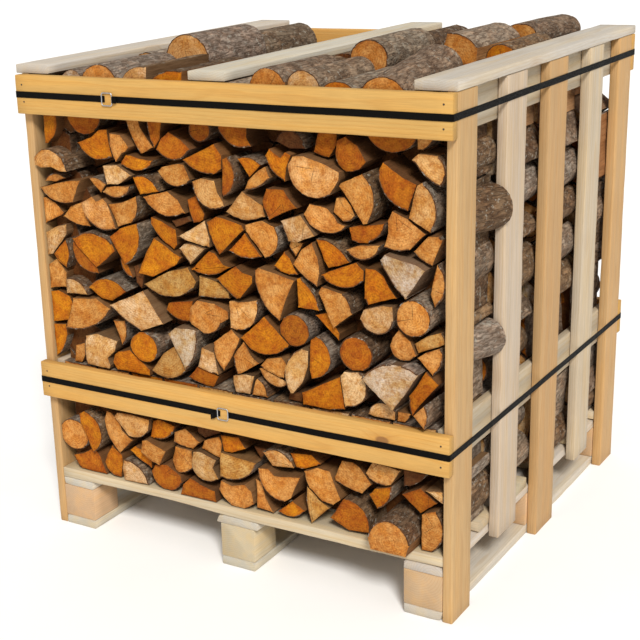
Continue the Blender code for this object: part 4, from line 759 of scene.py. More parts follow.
class Log:
    """One log: split faces and bark round its sides, and a sawn end with its bark's edge at each end."""

    def __init__(self, outline, heart, start, end, tone, seed, spacing, lean=0.0, light=1.0):
        draw = random.Random(seed)
        self.points = stepped(outline, spacing)
        self.count = len(self.points)
        self.middle = middle_of(self.points)
        self.heart = heart
        self.start, self.end, self.lean = start, end, lean
        self.colour = varied(TONES[tone], draw, TONE_SPREAD)
        self.bark_tone = (*varied(draw.choice(BARK_TONES), draw, BARK_SPREAD), 0.0)
        self.bark_thick = draw.uniform(*BARK_THICK)
        self.offset = seed * 0.731
        self.tilts = [[draw.uniform(-END_TILT, END_TILT) for _ in range(2)] for _ in range(2)]
        # light scales the split sides' colour down: painted shade, used on the front row so its gaps read dark
        dim = draw.uniform(*SIDE_DIM) * light
        blend = [OWN_SHARE * own + (1 - OWN_SHARE) * common for own, common in zip(self.colour, SPLIT_WOOD)]
        self.side_tone = (*(value * dim for value in blend), 0.0)
        self.normals = []
        for number in range(self.count):
            p, q = self.points[number - 1], self.points[(number + 1) % self.count]
            length = gap(p, q) or 1.0
            self.normals.append(((q[1] - p[1]) / length, (p[0] - q[0]) / length))
        self.lengths = [0.0]
        for p, q in zip(self.points, self.points[1:] + self.points[:1]):
            self.lengths.append(self.lengths[-1] + gap(p, q))

    def is_bark(self, number):
        return self.points[number][2] == BARK

    def along(self, share):
        return self.start + (self.end - self.start) * share

    def put(self, shape, x, y, z):
        return shape.point(x - self.lean * (self.end - y), y, z)

    def ring(self, y):
        """The outline at y, sunk by the roughness of its bark and its split faces."""
        offset = self.offset
        ring = []
        for number, (x, z, _) in enumerate(self.points):
            if self.is_bark(number) and self.is_bark(number - 1):
                grain = noise.noise((x * 120 + offset, y * 26, z * 120))
                lump = noise.noise((x * 22, y * 9 + offset, z * 22))
                depth, fine, wide, lift = BARK_ROUGH
            else:
                grain = noise.noise((x * 90, y * 7 + offset, z * 90))
                lump = noise.noise((x * 18 + offset, y * 5, z * 18))
                depth, fine, wide, lift = SPLIT_ROUGH
            sink = depth + fine * grain + wide * (lump + lift)
            sink = min(max(sink, 0.0), DEEPEST_SINK * gap((x, z), self.middle))
            nx, nz = self.normals[number]
            ring.append((x - nx * sink, z - nz * sink))
        return ring

    def saw_plane(self, at_end, x, z):
        """Where the slightly slanted saw cut of this end lies at (x, z)."""
        tx, tz = self.tilts[at_end]
        sag = abs(tx) * SAW_SAG + abs(tz) * SAW_SAG
        wave = SAW_WAVE * noise.noise((x * 40 + self.offset, z * 40, at_end))
        slant = sag + tx * (x - self.middle[0]) * SAW_TURN + tz * (z - self.middle[1]) * SAW_TURN
        depth = slant + wave + SAW_WAVE
        return self.end - max(depth, 0.0) if at_end else self.start + max(depth, 0.0)

    def add_to(self, shape, stations):
        rings = [self.ring(self.along(share)) for share in stations]
        ids = []
        for share, ring in zip(stations, rings):
            row = []
            for x, z in ring:
                y = self.along(share)
                if share == stations[0]:
                    y = self.saw_plane(0, x, z) + END_EASE
                elif share == stations[-1]:
                    y = self.saw_plane(1, x, z) - END_EASE
                row.append(self.put(shape, x, y, z))
            ids.append(row)
        for step in range(len(stations) - 1):
            near, far = self.along(stations[step]), self.along(stations[step + 1])
            self.add_band(shape, ids[step], ids[step + 1], near, far)
        self.add_end(shape, 0, rings[0], ids[0])
        self.add_end(shape, 1, rings[-1], ids[-1])

    def add_band(self, shape, near_ids, far_ids, near, far):
        for number in range(self.count):
            after = (number + 1) % self.count
            u, after_u = self.lengths[number], self.lengths[number + 1]
            corners = ((after_u, near), (u, near), (u, far), (after_u, far))
            is_bark = self.is_bark(number)
            shape.face(
                (near_ids[after], near_ids[number], far_ids[number], far_ids[after]),
                BARK_FACE if is_bark else SPLIT_FACE,
                tuple((*corner, self.offset) for corner in corners),
                (self.bark_tone if is_bark else self.side_tone,) * 4,
            )

    def add_end(self, shape, at_end, ring, outer):
        """The bark's edge, then a darker rim of wood, then the rest of the sawn end."""
        middle = self.middle
        lip, rim = [], []
        for number, (x, z) in enumerate(ring):
            nx, nz = self.normals[number]
            reach = gap((x, z), middle)
            at_bark = self.is_bark(number) or self.is_bark(number - 1)
            inset = min(self.bark_thick if at_bark else SPLIT_LIP, LIP_SHARE * reach)
            lx, lz = x - nx * inset, z - nz * inset
            share = min(RIM_SHARE, RIM_WIDE / reach)
            lip.append((lx, lz))
            rim.append((lx + (middle[0] - lx) * share, lz + (middle[1] - lz) * share))
        lip_ids, rim_ids = (
            [self.put(shape, x, self.saw_plane(at_end, x, z), z) for x, z in loop] for loop in (lip, rim)
        )

        def place(point):
            return (point[0] - self.heart[0], point[1] - self.heart[1], self.offset)

        def turned(corners):
            return corners[::-1] if at_end else corners

        edge_tone = (*BARK_EDGE, 1.0)
        lip_tone = (*self.colour, 1.0)
        core_tone = (*self.colour, 0.0)
        for number in range(self.count):
            after = (number + 1) % self.count
            is_bark = self.is_bark(number)
            shape.face(
                turned((outer[number], outer[after], lip_ids[after], lip_ids[number])),
                BARK_FACE if is_bark else END_GRAIN,
                turned((place(ring[number]), place(ring[after]), place(lip[after]), place(lip[number]))),
                (edge_tone if is_bark else lip_tone,) * 4,
            )
            shape.face(
                turned((lip_ids[number], lip_ids[after], rim_ids[after], rim_ids[number])),
                END_GRAIN,
                turned((place(lip[number]), place(lip[after]), place(rim[after]), place(rim[number]))),
                turned((lip_tone, lip_tone, core_tone, core_tone)),
            )
        rim_places = [place(point) for point in rim]
        shape.face(turned(tuple(rim_ids)), END_GRAIN, turned(rim_places), (core_tone,) * self.count)


# Where along a log its rings of points lie, and how far apart the points are in them
FRONT_STATIONS = (0.0, 0.04, 0.12, 0.25, 0.45, 0.7, 1.0)
SIDE_STATIONS = tuple(step / 12 for step in range(13))
INNER_STATIONS = (0.0, 0.5, 1.0)
SHOWN_SPACING = 0.0066
HIDDEN_SPACING = 0.009
INNER_SPACING = 0.03
LOOSE_SPACING = 0.005
OUTER_SIDE = 0.03
OUTER_TOP = 0.06
ROW_END_GAP = 0.004
INNER_END_GAP = 0.006
REAR_INNER_DEPTH = 0.034
ROW_SEEDS = 1000
INNER_SEED = 500
LEANING_SEED = 8000
LOOSE_SEED = 9000
# Painted shade: the factor that darkens the front row's split sides, seen in the gaps between its ends
FRONT_SIDE_PAINTED_SHADE = 0.5


def is_outer(outline):
    at_side = max(abs(p[0]) for p in outline) > STACK_SIDE_AT_RAILS - OUTER_SIDE
    return at_side or max(p[1] for p in outline) > STACK_CEILING - OUTER_TOP


def leaning_logs(shape):
    """The rear stretch of the round logs whose rear ends stand out of the crate's right side."""
    for number, (height, radius, proud) in enumerate(LEANING_LOGS):
        heart = (HALF_WIDTH + proud - radius, height)
        outline = round_outline(radius, heart)
        start, end = LEANING_LOG_END - LEANING_LOG_LONG, LEANING_LOG_END
        log = Log(outline, heart, start, end, "grain", LEANING_SEED + number, LOOSE_SPACING, lean=LEAN)
        log.add_to(shape, SIDE_STATIONS)


def inner_logs(shape, row, start, end):
    """Bark-covered logs deep between the others, their ends in the painted-shade colour so their gaps read
    dark.
    """
    for number, (outline, heart, _, _) in enumerate(split_bank(row, whole_cells=True)):
        outline = cut(cut(outline, (INNER_SIDE, 0), (1, 0)), (-INNER_SIDE, 0), (-1, 0))
        at_left = row == 0 and middle_of(outline)[0] < LEFT_CORNER
        near = start - LEFT_CORNER_NEARER if at_left else start
        # The "shade" colour on these ends is painted shade for the gaps
        log = Log(all_bark(outline), heart, near, end, "shade", INNER_SEED + number, INNER_SPACING)
        log.add_to(shape, INNER_STATIONS)


def firewood_row(row, skins):
    start = ROW_FRONT + row * ROW_PITCH
    end = start + LOG_LONG
    bank = front_bank() if row == 0 else split_bank(row)
    shape = Shape()
    for number, (outline, heart, out, tone) in enumerate(bank):
        log_start = start - out if row == 0 else start + ROW_END_GAP
        log_end = end + out if row == LAST_ROW else end - ROW_END_GAP
        outer = is_outer(outline)
        spacing = SHOWN_SPACING if row == 0 or outer else HIDDEN_SPACING
        # The front row's split sides get painted shade for the gaps they are seen through
        light = 1.0 if row else FRONT_SIDE_PAINTED_SHADE
        log = Log(outline, heart, log_start, log_end, tone, ROW_SEEDS * row + number, spacing, light=light)
        log.add_to(shape, SIDE_STATIONS if outer else FRONT_STATIONS)
    if row == 0:
        inner_logs(shape, row, start + INNER_DEPTH, end - INNER_END_GAP)
        leaning_logs(shape)
    if row == LAST_ROW:
        inner_logs(shape, row, start + INNER_END_GAP, end - REAR_INNER_DEPTH)
    obj = shape.made(f"log_row_{row + 1}", skins)
    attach(obj, "root")
    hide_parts(f"firewood_row_{row + 1}")


def round_outline(radius, middle, squash=1.0):
    turns = [2 * math.pi * (step + 0.5) / ROUND_SIDES for step in range(ROUND_SIDES)]
    return all_bark(
        (middle[0] + radius * math.cos(turn), middle[1] + radius * math.sin(turn) * squash) for turn in turns
    )


def top_log_outline(wide, tall, kind):
    half = wide / 2
    if kind == "half":
        arc = bark_arc((half, 0.0), (-half, 0.0), tall / wide, 16)
        outline = [(-half, 0.0, SPLIT), (half, 0.0, BARK)] + [(*p, BARK) for p in arc]
        return outline, (0.0, tall / 2 - wide * wide / (8 * tall))
    if kind == "wedge":
        crest = (-half * 0.55, tall * 0.8)
        brow = (half, tall * 0.45)
        outline = [(-half, 0.0, SPLIT), (half * 0.9, 0.0, SPLIT), (*brow, BARK)]
        outline += [(*p, BARK) for p in bark_arc(brow, crest, 0.16, 8)]
        return outline + [(*crest, SPLIT)], (-half * 0.3, -0.01)
    heart = (0.0, tall / 2)
    return round_outline(half, heart, tall / wide), heart


def loose_logs(skins):
    for number, (x, y, z, wide, tall, turn, rise, kind, tone) in enumerate(TOP_LOGS, start=1):
        shape = Shape()
        outline, heart = top_log_outline(wide, tall, kind)
        half = LOG_LONG / 2
        log = Log(outline, heart, -half, half, tone, LOOSE_SEED + number, LOOSE_SPACING)
        log.add_to(shape, SIDE_STATIONS)
        obj = shape.made(f"loose_log_{number}", skins)
        obj.location = (x, y, z)
        obj.rotation_euler = (math.radians(rise), 0.0, math.radians(turn))
        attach(obj, "root")
        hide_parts(f"top_log_{number}")


# Woods of the boards
WOODS = {
    "yellow_pine": srgb(200, 156, 88),
    "post_pine": srgb(188, 152, 106),
    "pale_pine": srgb(188, 172, 150),
    "grey_pine": srgb(199, 190, 175),
    "block_wood": srgb(208, 174, 136),
    "deck_pine": srgb(198, 182, 154),
}
WOOD_OF = (
    ("front_rail", "yellow_pine"),
    ("rear_rail", "yellow_pine"),
    ("post", "post_pine"),
    ("top_board", "grey_pine"),
    ("stringer", "grey_pine"),
    ("skid", "grey_pine"),
    ("deck", "deck_pine"),
    ("block_front_middle", "deck_pine"),
    ("block", "block_wood"),
)
WOOD_SPREAD = 0.05
END_DIM = 0.86
WANE = {"stringer": 0.010, "skid": 0.006, "deck_board_1": 0.007, "deck_board": 0.004}
CORNER_RADIUS = 0.0022
EDGE_STEP = 0.011
PLANK_STEP = 0.035
PLANK_EASE = 0.0012
HEART_ACROSS = 0.03
HEART_DEEP = (0.02, 0.08)
BOARD_WORDS = ("skid", "block", "stringer", "deck", "post", "slat", "rail", "board")


def board_profile(half_wide, half_thick):
    """A rectangle with eased corners; each point says whether it belongs to a corner."""
    radius = min(CORNER_RADIUS, half_thick * 0.4)
    profile = []
    for sx, sz in ((1, -1), (1, 1), (-1, 1), (-1, -1)):
        start = math.atan2(sz, sx) - math.pi / 4
        for step in range(3):
            turn = start + step * math.pi / 4
            centre = (sx * (half_wide - radius), sz * (half_thick - radius))
            profile.append((centre[0] + radius * math.cos(turn), centre[1] + radius * math.sin(turn), True))
        follow = {(1, 1): -1, (-1, -1): 1}.get((sx, sz))
        if follow:
            steps = max(2, round(half_wide / EDGE_STEP))
            for step in range(1, steps):
                along = 1 - 2 * step / steps
                reach = (half_wide - radius) * along
                profile.append((-follow * reach, sz * half_thick, False))
    return profile


class Board:
    """A sawn board in the place of a node: eased and chipped edges, wane on the rougher ones."""

    def __init__(self, node, seed):
        draw = random.Random(seed)
        low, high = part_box(node)
        size = high - low
        axes = sorted(range(3), key=lambda axis: -size[axis])
        self.shape = Shape()
        self.middle = (low + high) / 2
        self.length = size[axes[0]]
        self.profile = board_profile(size[axes[1]] / 2, size[axes[2]] / 2)
        self.wane = next((deep for word, deep in WANE.items() if node.startswith(word)), 0.0)
        self.offset = seed * 1.37
        self.heart_across = draw.uniform(-HEART_ACROSS, HEART_ACROSS)
        self.heart_deep = draw.choice((-1, 1)) * draw.uniform(*HEART_DEEP)
        self.wood = next((wood for word, wood in WOOD_OF if word in node), "pale_pine")
        base = varied(WOODS[self.wood], draw, WOOD_SPREAD)
        self.tone = (*base, 0.0)
        self.end_tone = (*(value * END_DIM for value in base), 1.0)
        self.ahead, self.across, self.up = (
            Vector([float(axis == here) for here in range(3)]) for axis in axes
        )
        self.flipped = self.ahead.cross(self.across).dot(self.up) < 0

    def point(self, u, v, w):
        point = self.middle + self.ahead * (u - self.length / 2)
        return self.shape.point(*(point + self.across * v + self.up * w))

    def place(self, u, v, w):
        return (u + self.offset, v + self.heart_across, w + self.heart_deep)

    def sunk(self, u, v, w, corner):
        offset = self.offset
        sink = 0.0003 * (1 + noise.noise((u * 60 + offset, v * 60, w * 60)))
        if not corner:
            return v, w * (1 - sink / max(abs(v), abs(w), 0.001))
        chip = noise.noise((u * 26 + offset, v * 9, w * 9 + 5.0))
        sink += 0.0016 * max(0.0, chip - 0.25)
        if self.wane and w * self.heart_deep > 0:
            sink += self.wane * max(0.0, noise.noise((u * 3.2 + offset, v * 6, 2.0)) + 0.15)
        return v - math.copysign(sink, v), w - math.copysign(sink * 0.8, w)

    def add(self, corners, places, tone, turned=False):
        if self.flipped != turned:
            corners, places = corners[::-1], places[::-1]
        self.shape.face(corners, 0, places, (tone,) * len(corners))

    def add_all(self):
        sections = max(3, round(self.length / PLANK_STEP))
        rings = []
        for step in range(sections + 1):
            u = PLANK_EASE + (self.length - 2 * PLANK_EASE) * step / sections
            rings.append([(u, *self.sunk(u, v, w, corner)) for v, w, corner in self.profile])
        ids = [[self.point(*spot) for spot in ring] for ring in rings]
        for step in range(sections):
            for number in range(len(self.profile)):
                after = (number + 1) % len(self.profile)
                turns = ((step, number), (step, after), (step + 1, after), (step + 1, number))
                corners = tuple(ids[i][j] for i, j in turns)
                self.add(corners, tuple(self.place(*rings[i][j]) for i, j in turns), self.tone)
        self.add_end(rings[0], ids[0], 0.0, False)
        self.add_end(rings[-1], ids[-1], self.length, True)

    def add_end(self, ring, outer, end, turned):
        def eased(value):
            return value * (1 - PLANK_EASE / abs(value or 1))

        lip = [(u, eased(v), eased(w)) for u, v, w in ring]
        lip_ids = [self.point(end, v, w) for _, v, w in lip]
        for number in range(len(ring)):
            after = (number + 1) % len(ring)
            corners = (outer[after], outer[number], lip_ids[number], lip_ids[after])
            spots = (ring[after], ring[number], lip[number], lip[after])
            self.add(corners, tuple(self.place(*spot) for spot in spots), self.end_tone, turned)
        places = tuple(self.place(*spot) for spot in lip[::-1])
        self.add(tuple(lip_ids[::-1]), places, self.end_tone, turned)


def plank(node, skins, seed):
    board = Board(node, seed)
    board.add_all()
    obj = board.shape.made("sawn_" + node, skins, sharp=50.0)
    wood = board.wood
    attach(obj, "root")
    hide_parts(node)
    wood if wood in ("yellow_pine", "post_pine") else "pale_pine"


def boards(skins):
    names = sorted(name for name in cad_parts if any(word in name for word in BOARD_WORDS))
    for number, name in enumerate(names):
        plank(name, skins, number + 1)


# Straps, wire buckles and nails
STRAP_TALL = 0.014
STRAP_THICK = 0.0009
STRAP_GAP = 0.0004
STRAP_HEIGHTS = {"top": 1.070, "middle": 0.388}
BUCKLE_SIZE = 0.030
BUCKLE_WIRE = 0.0026
BUCKLE_X = {"top": -0.273, "middle": -0.008}
BUCKLE_BEND = 0.0045
BUCKLE_OPEN = 0.011
# Each loose tail: its start right of the buckle's middle, its run to the right and its end's rise, where
# below zero means left and down
TAILS = {"top": (0.012, 0.014, -0.001), "middle": (-0.012, -0.020, -0.010)}
TAIL_STEPS = 12
TAIL_GAP = 0.0006
TAIL_ARCH = 0.0035
TAIL_RISE = 0.001
STRAP_CORNER = 0.003
STRAP_STEP = 0.004
STRAP_WAVE = 0.0007
STRAP_FACE = -HALF_DEPTH - STRAP_GAP - STRAP_THICK
BUCKLE_GAP = 0.0004
BLANK_TONE = (0.0, 0.0, 0.0, 0.0)
NAIL_HEAD = 0.0021
NAIL_RINGS = ((NAIL_HEAD, -0.0004), (NAIL_HEAD, 0.0002), (NAIL_HEAD * 0.7, 0.0006))
NAIL_SIDES = 10
NAIL_INSET = 0.019
NAIL_STAGGER = 0.003
RAIL_NAILS = (
    (-1, (0.022, 0.060)),
    (1, (0.020, 0.043, 0.066)),
)


def strap_path(inset):
    """Corners of the strap's run round the crate, eased, anticlockwise from the front left."""
    path = []
    for sx, sy, start in ((-1, -1, 180), (1, -1, 270), (1, 1, 0), (-1, 1, 90)):
        for turn in (0, 30, 60, 90):
            angle = math.radians(start + turn)
            reach = STRAP_CORNER + inset
            path.append(
                (
                    sx * (HALF_WIDTH + STRAP_GAP - STRAP_CORNER) + reach * math.cos(angle),
                    sy * (HALF_DEPTH + STRAP_GAP - STRAP_CORNER) + reach * math.sin(angle),
                )
            )
    return path


def strap(level, skins):
    inner, outer = strap_path(0.0), strap_path(STRAP_THICK)
    height = STRAP_HEIGHTS[level]
    shape = Shape()
    sections = []
    run = 0.0
    count = len(inner)
    for number in range(count):
        after = (number + 1) % count
        stretch = gap(outer[number], outer[after])
        steps = max(1, round(stretch / STRAP_STEP))
        for step in range(steps):
            t = step / steps
            a = [inner[number][k] * (1 - t) + inner[after][k] * t for k in range(2)]
            b = [outer[number][k] * (1 - t) + outer[after][k] * t for k in range(2)]
            wave = STRAP_WAVE * noise.noise((a[0] * 5, a[1] * 5, height * 9))
            sections.append((a, b, height + wave, run + t * stretch))
        run += stretch
    rows = [band_corners(shape, *section[:3]) for section in sections]
    for number, row in enumerate(rows):
        after = (number + 1) % len(rows)
        face = sections[number][1]
        if face[1] < -HALF_DEPTH and abs(face[0] - BUCKLE_X[level]) < BUCKLE_OPEN:
            continue
        band_faces(shape, row, rows[after], sections[number][3], sections[after][3] if after else run)
    obj = shape.made(f"band_{level}", skins, sharp=50.0)
    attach(obj, "root")
    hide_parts(f"strap_{level}")


def band_corners(shape, inner, outer, z):
    """The corners of the band's section, from the inner lower one."""
    low, high = z - STRAP_TALL / 2, z + STRAP_TALL / 2
    return [shape.point(*p, h) for p, h in ((inner, low), (outer, low), (outer, high), (inner, high))]


def band_faces(shape, row, next_row, run, next_run):
    for side in range(4):
        follow = (side + 1) % 4
        v = STRAP_TALL if side == 1 else 0.0
        shape.face(
            (row[side], next_row[side], next_row[follow], row[follow]),
            0,
            ((run, 0.0, 0.0), (next_run, 0.0, 0.0), (next_run, v, 0.0), (run, v, 0.0)),
            (BLANK_TONE,) * 4,
        )


def nail_head(shape, place, facing):
    out = Vector((0, facing, 0))
    across = out.orthogonal().normalized()
    up = out.cross(across)
    rings = []
    for radius, lift in NAIL_RINGS:
        ring = []
        for step in range(NAIL_SIDES):
            turn = 2 * math.pi * step / NAIL_SIDES
            point = place + out * lift
            point += (across * math.cos(turn) + up * math.sin(turn)) * radius
            ring.append(shape.point(*point))
        rings.append(ring)
    blank = ((0.0, 0.0, 0.0),) * NAIL_SIDES
    dull = (BLANK_TONE,) * NAIL_SIDES
    for lower, upper in zip(rings, rings[1:]):
        for step in range(NAIL_SIDES):
            after = (step + 1) % NAIL_SIDES
            shape.face((lower[step], lower[after], upper[after], upper[step]), 0, blank[:4], dull[:4])
    shape.face(tuple(rings[-1]), 0, blank, dull)
    shape.face(tuple(rings[0][::-1]), 0, blank, dull)


def nails(skin):
    """Nail heads near the ends of the front and rear rails."""
    shape = Shape()
    for facing in (-1, 1):
        for top in (FRAME_TOP, MIDDLE_RAIL_TOP):
            for side, drops in RAIL_NAILS:
                for number, drop in enumerate(drops):
                    x = side * (HALF_WIDTH - NAIL_INSET - NAIL_STAGGER * (number % 2))
                    nail_head(shape, Vector((x, facing * HALF_DEPTH, top - drop)), facing)
    obj = shape.made("nail_heads", (skin,), sharp=60.0)
    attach(obj, "root")


def wire(name, points, thick, skin):
    """Bent wire as a closed tube along the points."""
    curve = bpy.data.curves.new(name, "CURVE")
    curve.dimensions = "3D"
    curve.bevel_depth = thick / 2
    curve.bevel_resolution = 3
    line = curve.splines.new("POLY")
    line.points.add(len(points) - 1)
    line.use_cyclic_u = True
    for point, place in zip(line.points, points):
        point.co = (*place, 1.0)
    curve.materials.append(skin)
    obj = bpy.data.objects.new(name, curve)
    bpy.context.scene.collection.objects.link(obj)
    return obj


def eased_rectangle(half_x, half_z, radius, x, y, z):
    points = []
    for sx, sz, start in ((1, -1, 270), (1, 1, 0), (-1, 1, 90), (-1, -1, 180)):
        for turn in (0, 30, 60, 90):
            angle = math.radians(start + turn)
            points.append(
                (
                    x + sx * (half_x - radius) + radius * math.cos(angle),
                    y,
                    z + sz * (half_z - radius) + radius * math.sin(angle),
                )
            )
    return points


def buckle(level, skin):
    """A wire buckle: a rounded loop bent from one wire."""
    x, z = BUCKLE_X[level], STRAP_HEIGHTS[level]
    y = STRAP_FACE - BUCKLE_GAP - BUCKLE_WIRE / 2
    half = (BUCKLE_SIZE - BUCKLE_WIRE) / 2
    loop = eased_rectangle(half, half, BUCKLE_BEND, x, y, z)
    obj = wire(f"wire_buckle_{level}", loop, BUCKLE_WIRE, skin)
    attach(obj, "root")
    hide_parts(f"buckle_{level}")


def strap_tail(level, skin):
    """The strap's loose end, which arches off the band beside its buckle."""
    shape = Shape()
    first, length, fall = TAILS[level]
    rows = []
    for step in range(TAIL_STEPS + 1):
        t = step / TAIL_STEPS
        lift = TAIL_GAP + TAIL_ARCH * math.sin(math.pi * min(t * 1.1, 1.0)) + TAIL_RISE * t
        x = BUCKLE_X[level] + (first + length * t)
        near = STRAP_FACE - lift
        z = STRAP_HEIGHTS[level] + fall * t
        rows.append(band_corners(shape, (x, near), (x, near - STRAP_THICK), z))
    for step, (row, next_row) in enumerate(zip(rows, rows[1:])):
        band_faces(shape, row, next_row, step * length / TAIL_STEPS, (step + 1) * length / TAIL_STEPS)
    flat = ((0.0, 0.0, 0.0),) * 4
    shape.face(tuple(rows[0]), 0, flat, (BLANK_TONE,) * 4)
    shape.face(tuple(rows[-1][::-1]), 0, flat, (BLANK_TONE,) * 4)
    obj = shape.made(f"band_tail_{level}", (skin,), sharp=50.0)
    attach(obj, "root")


class Skin:
    """A procedural material under construction: each call adds a node and gives its output."""

    def __init__(self, name):
        self.material = bpy.data.materials.new(name)
        self.material.use_nodes = True
        self.nodes = self.material.node_tree.nodes
        self.links = self.material.node_tree.links
        self.shader = self.nodes["Principled BSDF"]
        self.shader.inputs["Specular IOR Level"].default_value = 0.2

    def put(self, socket, value):
        if isinstance(value, bpy.types.NodeSocket):
            self.links.new(value, socket)
        elif isinstance(value, tuple) and len(value) == 3 and socket.type == "RGBA":
            socket.default_value = (*value, 1.0)
        else:
            socket.default_value = value

    def node(self, kind, inputs=(), **settings):
        node = self.nodes.new(kind)
        for key, value in settings.items():
            setattr(node, key, value)
        for key, value in dict(inputs).items():
            self.put(node.inputs[key], value)
        return node

    def calc(self, operation, a, b=0.0, c=0.0):
        return self.node("ShaderNodeMath", {0: a, 1: b, 2: c}, operation=operation).outputs[0]

    def times(self, a, b):
        return self.calc("MULTIPLY", a, b)

    def vector(self, x, y, z=0.0):
        return self.node("ShaderNodeCombineXYZ", {0: x, 1: y, 2: z}).outputs[0]

    def noise(self, place, scale, detail=2.0, rough=0.55):
        inputs = {"Vector": place, "Scale": scale, "Detail": detail, "Roughness": rough}
        return self.node("ShaderNodeTexNoise", inputs).outputs[0]

    def cells(self, place, scale):
        """The distance to the nearest cell's middle, and that cell's own colour."""
        return self.node("ShaderNodeTexVoronoi", {"Vector": place, "Scale": scale}).outputs[:2]

    def curve(self, value, *stops):
        """A straight-line map of a number through (position, level) stops."""
        node = self.node("ShaderNodeValToRGB", {0: value})
        ramp = node.color_ramp
        while len(ramp.elements) < len(stops):
            ramp.elements.new(0.5)
        for element, (position, level) in zip(ramp.elements, stops):
            element.position = position
            element.color = (level, level, level, 1.0)
        return node.outputs[0]

    def mix(self, share, first, second, blend="MIX"):
        node = self.node("ShaderNodeMix", data_type="RGBA", blend_type=blend)
        for index, value in ((0, share), (6, first), (7, second)):
            self.put(node.inputs[index], value)
        return node.outputs[2]

    def tint(self, colour, factor):
        return self.mix(1.0, colour, factor, "MULTIPLY")

    def stain(self, share, colour, factor):
        """The colour times factor, mixed in by share."""
        return self.mix(share, colour, self.tint(colour, factor))

    def attribute(self, name):
        return self.node("ShaderNodeAttribute", attribute_name=name)

    def split(self, vector):
        return self.node("ShaderNodeSeparateXYZ", {0: vector}).outputs

    def finish(self, colour, roughness, height=None, distance=0.001, strength=1.0):
        self.put(self.shader.inputs["Base Color"], colour)
        self.put(self.shader.inputs["Roughness"], roughness)
        if height is not None:
            inputs = {"Height": height, "Distance": distance, "Strength": strength}
            bump = self.node("ShaderNodeBump", inputs)
            self.put(self.shader.inputs["Normal"], bump.outputs[0])
        return self.material


# Stains, as factors of the wood's or bark's own colour, and the colours of marks that hide it
FRESH_CUT = (1.20, 1.30, 1.50)
DARKENED = (0.90, 0.74, 0.46)
LATE_WOOD = (0.76, 0.60, 0.42)
SAW_GRIME = (0.66, 0.48, 0.30)
PITH = (0.50, 0.36, 0.24)
END_RIM = (0.52, 0.42, 0.32)
SPLIT_PATCH = (0.74, 0.60, 0.44)
SPLIT_STREAK = (0.62, 0.48, 0.34)
BROWN_BARK = (0.64, 0.48, 0.36)
BLEACHED_BARK = (1.70, 1.66, 1.62)
# Darker in the bark's furrows: partly its own colour there, partly painted shade
FURROW_STAIN_AND_SHADE = (0.46, 0.40, 0.36)
YELLOW_BAND = (1.07, 1.02, 0.90)
PALE_BAND = (0.93, 0.96, 1.00)
PINE_LATE_WOOD = (0.84, 0.68, 0.46)
PINE_PATCH = (0.88, 0.80, 0.68)
KNOT_HALO = (0.74, 0.52, 0.32)
CRACK = srgb(70, 42, 22)
LICHEN = srgb(162, 156, 142)
KNOT = srgb(122, 82, 50)
STRAP_BLACK = srgb(9, 7, 5)
STRAP_SCUFF = srgb(22, 19, 16)

# Sizes of what is drawn on the surfaces, in metres
RING_PITCH = 0.0055
SAW_PITCH = 0.0026
PINE_RING_PITCH = 0.0052
DIAMOND_PITCH = 0.0022

# Each drying crack: how its direction follows from the log's own offset, and its length
CRACKS = ((50.7, 0.045), (31.9, 0.030))
CRACKED_SHARE = 0.6
KNOT_SHARE = 0.62


def drying_cracks(skin, x, z, seed, warp):
    """Where the cracks from the heart are, on the logs that have them."""
    cracks = None
    for turn, reach in CRACKS:
        angle = skin.times(seed, turn)
        cosine, sine = skin.calc("COSINE", angle), skin.calc("SINE", angle)
        along = skin.calc("MULTIPLY_ADD", x, cosine, skin.times(z, sine))
        aside = skin.calc("SUBTRACT", skin.times(x, sine), skin.times(z, cosine))
        aside = skin.calc("MULTIPLY_ADD", warp, 0.006, skin.calc("SUBTRACT", aside, 0.003))
        aside = skin.calc("ABSOLUTE", aside)
        line = skin.curve(skin.times(aside, 1000.0), (0.15, 1.0), (0.9, 0.0))
        run = skin.times(along, 1 / reach)
        inside = skin.curve(run, (0.05, 0.0), (0.15, 1.0), (0.8, 1.0), (1.0, 0.0))
        crack = skin.times(line, inside)
        cracks = crack if cracks is None else skin.calc("MAXIMUM", cracks, crack)
    cracked = skin.calc("GREATER_THAN", skin.calc("FRACT", skin.times(seed, 0.37)), CRACKED_SHARE)
    return skin.times(cracks, cracked)


